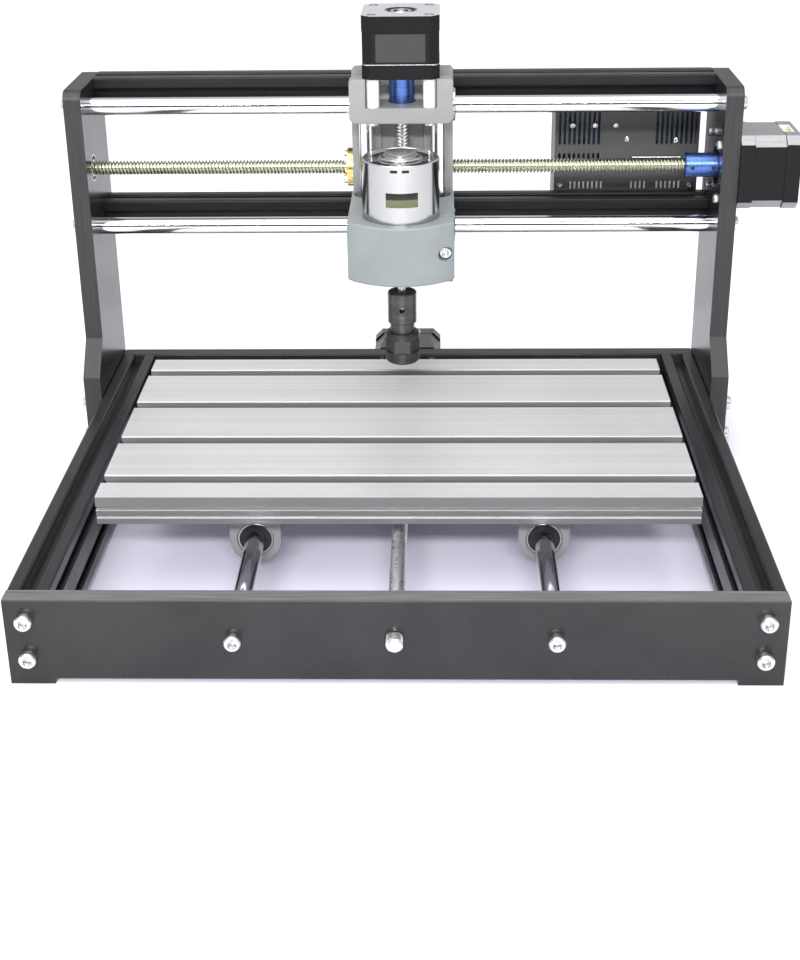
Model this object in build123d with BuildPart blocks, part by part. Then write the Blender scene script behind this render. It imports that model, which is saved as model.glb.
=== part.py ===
from build123d import *
import os

# Desktop CNC router with a moving table, a fixed gantry and a hanging spindle head.
# Machine frame, in millimetres: x = 0 is the middle between the two rails, y = 0 is the
# front face of the front plate and z = 0 is the surface that the feet stand on.
# save() moves each piece from there to the row's origin, under the middle of the whole box.

os.makedirs("parts", exist_ok=True)

# ---------------------------------------------------------------- driving dimensions
frame_width = 360.0          # over the two end plates and the two rails
plate_thick = 10.0           # phenolic plates
plate_height = 45.0          # end plates
foot_width = 21.0            # feet at both ends of an end plate
foot_height = 3.0
rail_length = 290.0          # 20 x 40 aluminium extrusions, standing on edge
rail_wide = 20.0
rail_tall = 40.0
bar_size = 20.0              # 20 x 20 crossbars of the gantry
rod_r = 5.0                  # 10 mm guide rods of X and Y
z_rod_r = 4.0                # 8 mm guide rods of Z
screw_r = 4.0                # 8 mm trapezoidal lead screws
motor_size = 42.3            # square stepper motors
motor_length = 34.0
motor_bolts = 31.0           # bolt square of a stepper motor
coupler_r = 7.0
coupler_length = 20.0
table_length = 300.0
table_depth = 180.0
table_thick = 15.0
running_gap = 0.05           # radial clearance of a running fit
seat_gap = 0.02              # radial clearance of a piece seated in a bore

# ---------------------------------------------------------------- places
half_width = frame_width / 2
rear_y = plate_thick + rail_length            # inner face of the rear plate
back_y = rear_y + plate_thick                 # outer face of the rear plate
rail_x = half_width - rail_wide / 2
rail_z = plate_height - rail_tall             # underside of the rails
y_rod_x = 74.5
y_axis_z = 24.5                               # height of the Y rods and the Y screw
table_y = 71.0                                # front edge of the table at rest
table_z = 46.5                                # underside of the table
table_top = table_z + table_thick
slot_pitch = 46.5

x_axis_y = 266.0                              # depth of the X rods and the X screw
upper_rod_z = 212.0
lower_rod_z = 141.0
x_screw_z = 176.0
bar_y = 294.0                                 # middle of the crossbars
upper_bar_z = 214.5
lower_bar_z = 140.7
gantry_x = half_width                         # inner faces of the gantry plates
gantry_top = 224.5

z_rod_x = 20.0
z_rod_y = 243.5
z_axis_y = 249.15                             # Z screw and Z motor
motor_seat_z = 234.0                          # underside of the Z motor
carriage_half = 28.5
carriage_front = 230.0
carriage_wall = 253.0                         # front of the carriage's back wall
carriage_back = 281.0
carriage_foot = 118.0
carriage_floor = 128.0                        # top of the carriage's lower arm
carriage_roof = 209.5                         # underside of the carriage's upper arm
carriage_deck = 218.0                         # top of the carriage's upper arm

slide_back = 252.0
slide_half = 29.0
slide_foot = 133.0
slide_top = 166.0
spindle_y = 203.0
can_r = 21.0
can_top = 197.6

# Row origin: middle of the box over all pieces, on the ground. The box runs from the left
# gantry plate's screw heads to the X motor, and from the Y screw's nose to the Y motor.
m5_head_h = 5.0
screw_nose = 6.0
origin_x = (motor_length - m5_head_h) / 2
origin_y = (back_y + motor_length - screw_nose) / 2
to_origin = Location((-origin_x, -origin_y, 0))


def level(z):
    """Horizontal plane at height z: local x is +X and local y is +Y."""
    return Plane.XY.offset(z)


def across(y):
    """Upright plane at depth y that faces the front: local x is +X and local y is +Z."""
    return Plane.XZ.offset(-y)


def along(x):
    """Upright plane at x that faces right: local x is +Y and local y is +Z."""
    return Plane.YZ.offset(x)


def save(piece, label):
    """Name the piece, move it to the row's origin and write its STEP file."""
    piece.part = piece.part.moved(to_origin)
    piece.part.label = label
    export_step(piece.part, f"parts/{label}.step")


# ---------------------------------------------------------------- shared shapes
bolt_hole_r = 2.75           # M5 clearance
tapped_r = 2.5               # M5 core of rods and extrusions
m5_head_r = 4.25
m3_head_r = 2.75
m3_head_h = 3.0

slot_mouth = 3.1             # half widths of an extrusion slot
slot_inner = 5.6
slot_floor = 2.6
slot_lip = 1.8
slot_depth = 6.0


def extrusion_slot():
    """One slot of an aluminium extrusion, cut downwards from local y = 0."""
    Polygon(
        (-slot_mouth - 0.9, 0.0),
        (-slot_mouth, -0.9),
        (-slot_mouth, -slot_lip),
        (-slot_inner, -slot_lip),
        (-slot_inner, -slot_depth + 2.6),
        (-slot_floor, -slot_depth),
        (slot_floor, -slot_depth),
        (slot_inner, -slot_depth + 2.6),
        (slot_inner, -slot_lip),
        (slot_mouth, -slot_lip),
        (slot_mouth, -0.9),
        (slot_mouth + 0.9, 0.0),
        align=None,
        mode=Mode.SUBTRACT,
    )


def cap_screw(shank_r, head_r, head_h, shank_length):
    """A socket cap screw along z: its head stands on z = 0 and its shank hangs below."""
    with BuildPart() as screw:
        with BuildSketch():
            Circle(head_r)
        extrude(amount=head_h)
        chamfer(screw.edges().filter_by(GeomType.CIRCLE).sort_by(Axis.Z)[-1], head_h * 0.12)
        with BuildSketch(level(head_h)):
            RegularPolygon(shank_r * 0.8, 6, major_radius=False)
        extrude(amount=-head_h * 0.55, mode=Mode.SUBTRACT)
        with BuildSketch():
            Circle(shank_r)
        extrude(amount=-shank_length)
    return screw.part


# ================================================================ base frame
rail_bolts = [(side * rail_x, z) for side in (-1, 1) for z in (35.0, 15.0)]
rod_bolts = [(-y_rod_x, y_axis_z), (y_rod_x, y_axis_z)]


def end_plate_outline():
    """Front view of an end plate, with a shallow notch that leaves a foot at each end."""
    with Locations((0, plate_height / 2)):
        Rectangle(frame_width, plate_height)
    with Locations((0, 0)):
        Rectangle(frame_width - 2 * foot_width, 2 * foot_height, mode=Mode.SUBTRACT)


bearing_r = 8.0              # 8 x 16 x 5 ball bearings that carry the free screw ends
bearing_wide = 5.0

with BuildPart() as front_plate:
    with BuildSketch(across(0)):
        end_plate_outline()
        with Locations(*rail_bolts, *rod_bolts):
            Circle(bolt_hole_r, mode=Mode.SUBTRACT)
        with Locations((0, y_axis_z)):
            Circle(screw_r + 0.5, mode=Mode.SUBTRACT)
    extrude(amount=-plate_thick)
    with BuildSketch(across(plate_thick)):
        with Locations((0, y_axis_z)):
            Circle(bearing_r + seat_gap)
    extrude(amount=bearing_wide, mode=Mode.SUBTRACT)
    chamfer(front_plate.edges().filter_by(Axis.X).group_by(Axis.Z)[-1], 0.6)

shaft_hole_r = 11.5          # clears the motor's pilot and the coupler
motor_holes = [
    (side_x * motor_bolts / 2, side_z * motor_bolts / 2)
    for side_x in (-1, 1)
    for side_z in (-1, 1)
]

with BuildPart() as rear_plate:
    with BuildSketch(across(rear_y)):
        end_plate_outline()
        with Locations(*rail_bolts, *rod_bolts):
            Circle(bolt_hole_r, mode=Mode.SUBTRACT)
        with Locations((0, y_axis_z)):
            Circle(shaft_hole_r, mode=Mode.SUBTRACT)
            with Locations(*motor_holes):
                Circle(1.7, mode=Mode.SUBTRACT)
    extrude(amount=-plate_thick)
    chamfer(rear_plate.edges().filter_by(Axis.X).group_by(Axis.Z)[-1], 0.6)


def rail_profile(x):
    """End view of a 20 x 40 rail: a slot on top and below, two on each tall side."""
    middle = rail_z + rail_tall / 2
    with Locations((x, middle)):
        RectangleRounded(rail_wide, rail_tall, 1.0)
    with Locations((x, plate_height)):
        extrusion_slot()
    with Locations(Location((x, rail_z), 180)):
        extrusion_slot()
    for z in (rail_z + rail_wide / 2, plate_height - rail_wide / 2):
        with Locations(Location((x + rail_wide / 2, z), -90)):
            extrusion_slot()
        with Locations(Location((x - rail_wide / 2, z), 90)):
            extrusion_slot()
        with Locations((x, z)):
            Circle(tapped_r + running_gap, mode=Mode.SUBTRACT)


with BuildPart() as left_rail:
    with BuildSketch(across(plate_thick)):
        rail_profile(-rail_x)
    extrude(amount=-rail_length)

with BuildPart() as right_rail:
    with BuildSketch(across(plate_thick)):
        rail_profile(rail_x)
    extrude(amount=-rail_length)

tapped_depth = 16.0


def y_rod(x):
    """A 10 mm rod between the end plates, tapped M5 at both ends."""
    with BuildPart() as rod:
        with BuildSketch(across(plate_thick)):
            with Locations((x, y_axis_z)):
                Circle(rod_r)
        extrude(amount=-rail_length)
        for y, way in ((plate_thick, -1), (rear_y, 1)):
            with BuildSketch(across(y)):
                with Locations((x, y_axis_z)):
                    Circle(tapped_r + running_gap)
            extrude(amount=way * tapped_depth, mode=Mode.SUBTRACT)
    return rod


left_y_rod = y_rod(-y_rod_x)
right_y_rod = y_rod(y_rod_x)

# ================================================================ gantry
gantry_back = 307.0
gantry_front = 247.0
gantry_toe = 231.0           # the plate's foot reaches further forward
toe_top = 58.0
slant_top = 77.0
rod_bolts_side = [(x_axis_y, upper_rod_z), (x_axis_y, lower_rod_z)]
bar_bolts_side = [(bar_y, upper_bar_z), (bar_y, lower_bar_z)]
rail_bolts_side = [(y, rail_z + rail_tall / 2 + dz) for y in (246.0, 290.0) for dz in (-10.0, 10.0)]


def gantry_outline():
    """Side view of a gantry plate: an upright whose foot steps forward over the rail."""
    outline = Polygon(
        (gantry_back, rail_z),
        (gantry_back, gantry_top),
        (gantry_front, gantry_top),
        (gantry_front, slant_top),
        (gantry_toe, toe_top),
        (gantry_toe, rail_z),
        align=None,
    )
    fillet(outline.vertices().group_by(Axis.Y)[-1], 6.0)
    with Locations(*rod_bolts_side, *bar_bolts_side, *rail_bolts_side):
        Circle(bolt_hole_r, mode=Mode.SUBTRACT)


with BuildPart() as left_gantry_plate:
    with BuildSketch(along(-gantry_x - plate_thick)):
        gantry_outline()
        with Locations((x_axis_y, x_screw_z)):
            Circle(screw_r + 0.5, mode=Mode.SUBTRACT)
    extrude(amount=plate_thick)
    with BuildSketch(along(-gantry_x)):
        with Locations((x_axis_y, x_screw_z)):
            Circle(bearing_r + seat_gap)
    extrude(amount=-bearing_wide, mode=Mode.SUBTRACT)

with BuildPart() as right_gantry_plate:
    with BuildSketch(along(gantry_x)):
        gantry_outline()
        with Locations((x_axis_y, x_screw_z)):
            Circle(shaft_hole_r, mode=Mode.SUBTRACT)
            with Locations(*motor_holes):
                Circle(1.7, mode=Mode.SUBTRACT)
    extrude(amount=plate_thick)


def crossbar(z):
    """A 20 x 20 bar between the gantry plates, with a slot on each side."""
    with BuildPart() as bar:
        with BuildSketch(along(-gantry_x)):
            with Locations((bar_y, z)):
                RectangleRounded(bar_size, bar_size, 1.0)
                Circle(tapped_r + running_gap, mode=Mode.SUBTRACT)
                with PolarLocations(bar_size / 2, 4, start_angle=90):
                    with Locations(Location((0, 0), -90)):
                        extrusion_slot()
        extrude(amount=frame_width)
    return bar


upper_crossbar = crossbar(upper_bar_z)
lower_crossbar = crossbar(lower_bar_z)


def x_rod(z):
    """A 10 mm rod between the gantry plates, tapped M5 at both ends."""
    with BuildPart() as rod:
        with BuildSketch(along(-gantry_x)):
            with Locations((x_axis_y, z)):
                Circle(rod_r)
        extrude(amount=frame_width)
        for x, way in ((-gantry_x, 1), (gantry_x, -1)):
            with BuildSketch(along(x)):
                with Locations((x_axis_y, z)):
                    Circle(tapped_r + running_gap)
            extrude(amount=way * tapped_depth, mode=Mode.SUBTRACT)
    return rod


upper_x_rod = x_rod(upper_rod_z)
lower_x_rod = x_rod(lower_rod_z)

# Ball bearings of the two screws, seated in the front plate and in the left gantry plate.
with BuildPart() as screw_end_bearings:
    with BuildSketch(across(plate_thick)):
        with Locations((0, y_axis_z)):
            Circle(bearing_r)
            Circle(screw_r + running_gap, mode=Mode.SUBTRACT)
    extrude(amount=bearing_wide)
    with BuildSketch(along(-gantry_x)):
        with Locations((x_axis_y, x_screw_z)):
            Circle(bearing_r)
            Circle(screw_r + running_gap, mode=Mode.SUBTRACT)
    extrude(amount=-bearing_wide)

# ================================================================ stepper motors
# Each motor is built along +Z of its own plane: mounting face at local z = 0.
front_cap = 8.0
rear_cap = 8.5
stack_end = motor_length - rear_cap
pilot_r = 11.0
pilot_high = 2.0
shaft_r = 2.5
corner_cut = 4.5
socket_wide = 16.0
socket_deep = 7.0
socket_high = 6.0
screw_in = 4.5

x_motor_plane = Plane(origin=(gantry_x + plate_thick, x_axis_y, x_screw_z), x_dir=(0, 1, 0), z_dir=(1, 0, 0))
y_motor_plane = Plane(origin=(0, back_y, y_axis_z), x_dir=(-1, 0, 0), z_dir=(0, 1, 0))
z_motor_plane = Plane(origin=(0, z_axis_y, motor_seat_z), x_dir=(1, 0, 0), z_dir=(0, 0, 1))


def square_outline(size, cut):
    """A motor's square section with its corners cut off."""
    Rectangle(size, size)
    chamfer(vertices(), cut)


def motor_stack(plane):
    """The black laminated middle of a motor, bored for the rotor."""
    with BuildPart() as stack:
        with BuildSketch(plane.offset(front_cap)):
            square_outline(motor_size - 0.4, corner_cut + 1.0)
            Circle(shaft_r + 2.0, mode=Mode.SUBTRACT)
        extrude(amount=stack_end - front_cap)
    return stack


def motor_caps(plane):
    """The two die-cast end caps of a motor: pilot ring in front, screw heads at the back."""
    with BuildPart() as caps:
        with BuildSketch(plane):
            square_outline(motor_size, corner_cut)
        extrude(amount=front_cap)
        with BuildSketch(plane):
            Circle(pilot_r)
        extrude(amount=-pilot_high)
        with BuildSketch(plane.offset(stack_end)):
            square_outline(motor_size, corner_cut)
        extrude(amount=rear_cap)
        with BuildSketch(plane.offset(motor_length)):
            Circle(9.0)
            with GridLocations(motor_bolts, motor_bolts, 2, 2):
                Circle(2.6)
        extrude(amount=-0.8, mode=Mode.SUBTRACT)
        with BuildSketch(plane.offset(-pilot_high)):
            Circle(shaft_r + 2.0)
        extrude(amount=motor_length - 3.0 + pilot_high, mode=Mode.SUBTRACT)
        with BuildSketch(plane):
            with GridLocations(motor_bolts, motor_bolts, 2, 2):
                Circle(1.5 + running_gap)
        extrude(amount=screw_in + 0.5, mode=Mode.SUBTRACT)
        with BuildSketch(plane.offset(stack_end)):
            with Locations((0, motor_size / 2)):
                Rectangle(socket_wide + 0.1, 2 * socket_deep)
        extrude(amount=socket_high, mode=Mode.SUBTRACT)
    return caps


def motor_socket(plane):
    """The moulded cable socket, flush with the edge of the rear cap and open to the outside."""
    inner = motor_size / 2 - socket_deep
    with BuildPart() as socket:
        with BuildSketch(plane.offset(stack_end)):
            with Locations((0, inner + socket_deep / 2)):
                Rectangle(socket_wide, socket_deep)
        extrude(amount=socket_high)
        with BuildSketch(plane.offset(stack_end + 1.2)):
            with Locations((0, inner + socket_deep)):
                Rectangle(socket_wide - 2.4, 2 * (socket_deep - 1.5))
        extrude(amount=socket_high - 2.4, mode=Mode.SUBTRACT)
    return socket


def motor_shaft(plane, reach):
    """A motor's steel shaft: it stands out of the mounting face by its reach."""
    with BuildPart() as shaft:
        with BuildSketch(plane.offset(-reach)):
            Circle(shaft_r)
        extrude(amount=reach + motor_length - 4.0)
    return shaft


x_motor_stator = motor_stack(x_motor_plane)
y_motor_stator = motor_stack(y_motor_plane)
z_motor_stator = motor_stack(z_motor_plane)
x_motor_caps = motor_caps(x_motor_plane)
y_motor_caps = motor_caps(y_motor_plane)
z_motor_caps = motor_caps(z_motor_plane)
z_motor_socket = motor_socket(z_motor_plane)
frame_sockets = [motor_socket(plane).part for plane in (x_motor_plane, y_motor_plane)]

with BuildPart() as motor_sockets:
    add(frame_sockets)

# M3 screws that hold the X and Y motors, heads on the plates' inner faces.
inner_x = Plane(origin=(gantry_x, x_axis_y, x_screw_z), x_dir=(0, 1, 0), z_dir=(-1, 0, 0))
inner_y = Plane(origin=(0, rear_y, y_axis_z), x_dir=(1, 0, 0), z_dir=(0, -1, 0))
motor_m3 = cap_screw(1.5, m3_head_r, m3_head_h, plate_thick + screw_in)

with BuildPart() as motor_screws:
    for plane in (inner_x, inner_y):
        with Locations(plane):
            with GridLocations(motor_bolts, motor_bolts, 2, 2):
                add(motor_m3)

# ================================================================ lead screws
shaft_reach = 18.5           # motor shaft in front of the mounting face
shaft_meet = 0.5             # gap between the shaft's end and the screw's end


def coupler(plane, start):
    """A rigid coupler: two bores that meet in the middle, and a set-screw hole near each end."""
    middle = coupler_length / 2
    with BuildPart() as sleeve:
        with BuildSketch(plane.offset(start)):
            Circle(coupler_r)
        extrude(amount=coupler_length)
        chamfer(sleeve.edges().filter_by(GeomType.CIRCLE), 0.5)
        with BuildSketch(plane.offset(start)):
            Circle(screw_r + seat_gap)
        extrude(amount=middle, mode=Mode.SUBTRACT)
        with BuildSketch(plane.offset(start + middle)):
            Circle(shaft_r + seat_gap)
        extrude(amount=middle, mode=Mode.SUBTRACT)
        for place in (4.0, coupler_length - 4.0):
            side = Plane(plane.offset(start + place).origin, x_dir=plane.z_dir, z_dir=-plane.x_dir)
            with BuildSketch(side):
                Circle(1.25)
            extrude(amount=coupler_r + 1.0, mode=Mode.SUBTRACT)
    return sleeve


def lead_screw(plane, length):
    """A lead screw as its plain outer cylinder, chamfered at both ends."""
    with BuildPart() as screw:
        with BuildSketch(plane):
            Circle(screw_r)
        extrude(amount=length)
        chamfer(screw.edges().filter_by(GeomType.CIRCLE), 0.8)
    return screw


# The shaft's end sits in the middle of the coupler, a little way from the screw's end.
coupler_from = -shaft_reach - coupler_length / 2 + shaft_meet / 2
x_coupler = coupler(x_motor_plane, coupler_from)
y_coupler = coupler(y_motor_plane, coupler_from)
x_motor_shaft = motor_shaft(x_motor_plane, shaft_reach - shaft_meet / 2)
y_motor_shaft = motor_shaft(y_motor_plane, shaft_reach - shaft_meet / 2)

x_screw_start = -gantry_x - bearing_wide + 0.5
x_screw_end = gantry_x + plate_thick - shaft_reach - shaft_meet / 2
x_screw_plane = Plane(origin=(x_screw_start, x_axis_y, x_screw_z), x_dir=(0, 1, 0), z_dir=(1, 0, 0))
x_lead_screw = lead_screw(x_screw_plane, x_screw_end - x_screw_start)

y_screw_end = back_y - shaft_reach - shaft_meet / 2
y_screw_plane = Plane(origin=(0, -screw_nose, y_axis_z), x_dir=(-1, 0, 0), z_dir=(0, 1, 0))
y_lead_screw = lead_screw(y_screw_plane, y_screw_end + screw_nose)

z_coupler_foot = motor_seat_z - pilot_high - 0.5 - coupler_length
z_meet = z_coupler_foot + coupler_length / 2
z_screw_foot = carriage_foot + 2.0
z_screw_plane = Plane(origin=(0, z_axis_y, z_screw_foot), x_dir=(1, 0, 0), z_dir=(0, 0, 1))
z_coupler_plane = Plane(origin=(0, z_axis_y, z_coupler_foot), x_dir=(1, 0, 0), z_dir=(0, 0, 1))
z_coupler = coupler(z_coupler_plane, 0)
z_motor_shaft = motor_shaft(z_motor_plane, motor_seat_z - z_meet - shaft_meet)
z_lead_screw = lead_screw(z_screw_plane, z_meet - shaft_meet - z_screw_foot)

# ================================================================ moving table
slot_places = [table_y + table_depth / 2 + step * slot_pitch for step in (-1.5, -0.5, 0.5, 1.5)]
slot_half = 4.0              # T-slot mouth, half width
slot_wide = 6.8              # T-slot undercut, half width
lip_thick = 3.2
undercut_floor = 8.4         # depth of the T-slot under the table's top
groove_top = 5.5             # groove along the table's front and rear edges
groove_high = 2.0
groove_deep = 3.0
skirt_top = 10.3
skirt_step = 1.2

with BuildPart() as table:
    with BuildSketch(along(-table_length / 2)):
        with Locations((table_y + table_depth / 2, table_z + table_thick / 2)):
            Rectangle(table_depth, table_thick)
        for y in slot_places:
            with Locations((y, table_top)):
                Polygon(
                    (-slot_half - 0.6, 0),
                    (-slot_half, -0.6),
                    (-slot_half, -lip_thick),
                    (-slot_wide, -lip_thick),
                    (-slot_wide, -undercut_floor),
                    (slot_wide, -undercut_floor),
                    (slot_wide, -lip_thick),
                    (slot_half, -lip_thick),
                    (slot_half, -0.6),
                    (slot_half + 0.6, 0),
                    align=None,
                    mode=Mode.SUBTRACT,
                )
        for y in (table_y, table_y + table_depth):
            with Locations((y, table_top - groove_top - groove_high / 2)):
                Rectangle(2 * groove_deep, groove_high, mode=Mode.SUBTRACT)
            with Locations((y, table_top - skirt_top - 0.8)):
                Rectangle(2 * skirt_step, 1.6, mode=Mode.SUBTRACT)
        for y in slot_places[:-1]:
            with Locations((y + slot_pitch / 2, table_z)):
                Rectangle(24.0, 5.0, mode=Mode.SUBTRACT)
    extrude(amount=table_length)

holder_r = 13.3
holder_length = 30.0
holder_flange = 44.0
flange_thick = 5.0
bearing_outer = 9.5
bearing_length = 29.0
holder_starts = (95.0, 175.0)
flange_screw = 17.5          # screws beside the rod's axis
holder_screws = [
    (side * y_rod_x + offset, start + holder_length / 2)
    for side in (-1, 1)
    for offset in (-flange_screw, flange_screw)
    for start in holder_starts
]
block_start = 135.0
block_length = 30.0
block_wide = 48.0
block_screws = [(side * 18.5, block_start + block_length / 2) for side in (-1, 1)]
m4_r = 2.0
m4_head_r = 3.5
m4_head_h = 3.5
m4_bite = 5.5

with BuildPart() as bed_screw_holes:
    with BuildSketch(level(table_z)):
        with Locations(*holder_screws, *block_screws):
            Circle(m4_r + running_gap)
    extrude(amount=m4_bite + 0.3)

with BuildPart() as drilled_table:
    add(table.part)
    add(bed_screw_holes.part, mode=Mode.SUBTRACT)

with BuildPart() as bearing_holders:
    for side in (-1, 1):
        for start in holder_starts:
            with BuildSketch(across(start)):
                with Locations((side * y_rod_x, y_axis_z)):
                    Circle(holder_r)
                with Locations((side * y_rod_x, (y_axis_z + table_z) / 2)):
                    Rectangle(2 * holder_r, table_z - y_axis_z)
                with Locations((side * y_rod_x, table_z - flange_thick / 2)):
                    Rectangle(holder_flange, flange_thick)
                with Locations((side * y_rod_x, y_axis_z)):
                    Circle(bearing_outer + seat_gap, mode=Mode.SUBTRACT)
            extrude(amount=-holder_length)
    with BuildSketch(level(table_z)):
        with Locations(*holder_screws):
            Circle(m4_r + running_gap)
    extrude(amount=-flange_thick, mode=Mode.SUBTRACT)


def linear_bearing(outer_r, inner_r, length):
    """A ball bushing that stands on z = 0, with a retaining groove near each end."""
    with BuildPart() as bushing:
        with BuildSketch():
            Circle(outer_r)
            Circle(inner_r, mode=Mode.SUBTRACT)
        extrude(amount=length)
        for place in (3.5, length - 4.6):
            with BuildSketch(level(place)):
                Circle(outer_r + 1.0)
                Circle(outer_r - 0.5, mode=Mode.SUBTRACT)
            extrude(amount=1.1, mode=Mode.SUBTRACT)
    return bushing.part


bushing_10 = linear_bearing(bearing_outer, rod_r + running_gap, bearing_length)

with BuildPart() as y_linear_bearings:
    for side in (-1, 1):
        for start in holder_starts:
            front = start + (holder_length - bearing_length) / 2
            with Locations(
                Plane(origin=(side * y_rod_x, front, y_axis_z), x_dir=(-1, 0, 0), z_dir=(0, 1, 0))
            ):
                add(bushing_10)

nut_flange_r = 11.0
nut_flange = 3.5
nut_barrel_r = 5.1
nut_barrel = 10.0
nut_spigot = 1.5
nut_bolt_circle = 8.0

with BuildPart() as y_nut_block:
    with BuildSketch(across(block_start)):
        with Locations((0, (12.0 + table_z) / 2)):
            Rectangle(28.0, table_z - 12.0)
        with Locations((0, table_z - flange_thick / 2)):
            Rectangle(block_wide, flange_thick)
        with Locations((0, y_axis_z)):
            Circle(nut_barrel_r + seat_gap, mode=Mode.SUBTRACT)
            with PolarLocations(nut_bolt_circle, 4, start_angle=45):
                Circle(1.5 + running_gap, mode=Mode.SUBTRACT)
    extrude(amount=-block_length)
    with BuildSketch(level(table_z)):
        with Locations(*block_screws):
            Circle(m4_r + running_gap)
    extrude(amount=-flange_thick, mode=Mode.SUBTRACT)


def flanged_nut(plane):
    """A brass lead-screw nut: flange on the plane, long barrel along +z, short spigot behind."""
    with BuildPart() as nut:
        with BuildSketch(plane):
            Circle(nut_barrel_r)
        extrude(amount=nut_barrel)
        with BuildSketch(plane):
            Circle(nut_flange_r)
            with PolarLocations(nut_bolt_circle, 4, start_angle=45):
                Circle(1.5 + running_gap, mode=Mode.SUBTRACT)
        extrude(amount=-nut_flange)
        with BuildSketch(plane.offset(-nut_flange)):
            Circle(nut_barrel_r)
        extrude(amount=-nut_spigot)
        with BuildSketch(plane.offset(nut_barrel)):
            Circle(screw_r + running_gap)
        extrude(amount=-(nut_barrel + nut_flange + nut_spigot), mode=Mode.SUBTRACT)
    return nut


y_nut_plane = Plane(origin=(0, block_start, y_axis_z), x_dir=(-1, 0, 0), z_dir=(0, 1, 0))
y_brass_nut = flanged_nut(y_nut_plane)

# M4 screws up into the table, and the M3 screws of the nut's flange.
under_flange = Plane(origin=(0, 0, table_z - flange_thick), x_dir=(1, 0, 0), z_dir=(0, 0, -1))
nut_face = Plane(origin=(0, block_start - nut_flange, y_axis_z), x_dir=(1, 0, 0), z_dir=(0, -1, 0))
table_m4 = cap_screw(m4_r, m4_head_r, m4_head_h, flange_thick + m4_bite)
nut_m3 = cap_screw(1.5, 2.6, 2.0, nut_flange + 8.0)

with BuildPart() as bed_screws:
    with Locations(under_flange):
        with Locations(*[(x, -y) for x, y in (*holder_screws, *block_screws)]):
            add(table_m4)
    with Locations(nut_face):
        with PolarLocations(nut_bolt_circle, 4, start_angle=45):
            add(nut_m3)

# ================================================================ X carriage
housing_half = 13.5          # half height of the bearing housings round the X rods
carriage_web = 4.5           # wall between the bearing housings
side_wall = 4.5
post_inner = 19.5
post_depth = 10.0
arm_bevel = 2.5
standoff_r = 3.5
x_bearing_outer = 9.5
tunnel_r = 8.0               # passes the X coupler at the end of the travel
nut_channel_back = 255.4
nut_channel_half = 12.0
housing_top = upper_rod_z + housing_half
front_standoffs = [(side * motor_bolts / 2, z_axis_y - motor_bolts / 2) for side in (-1, 1)]
rear_standoffs = [(side * motor_bolts / 2, z_axis_y + motor_bolts / 2) for side in (-1, 1)]
standoff_seats = [(carriage_deck, front_standoffs), (housing_top, rear_standoffs)]

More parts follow.
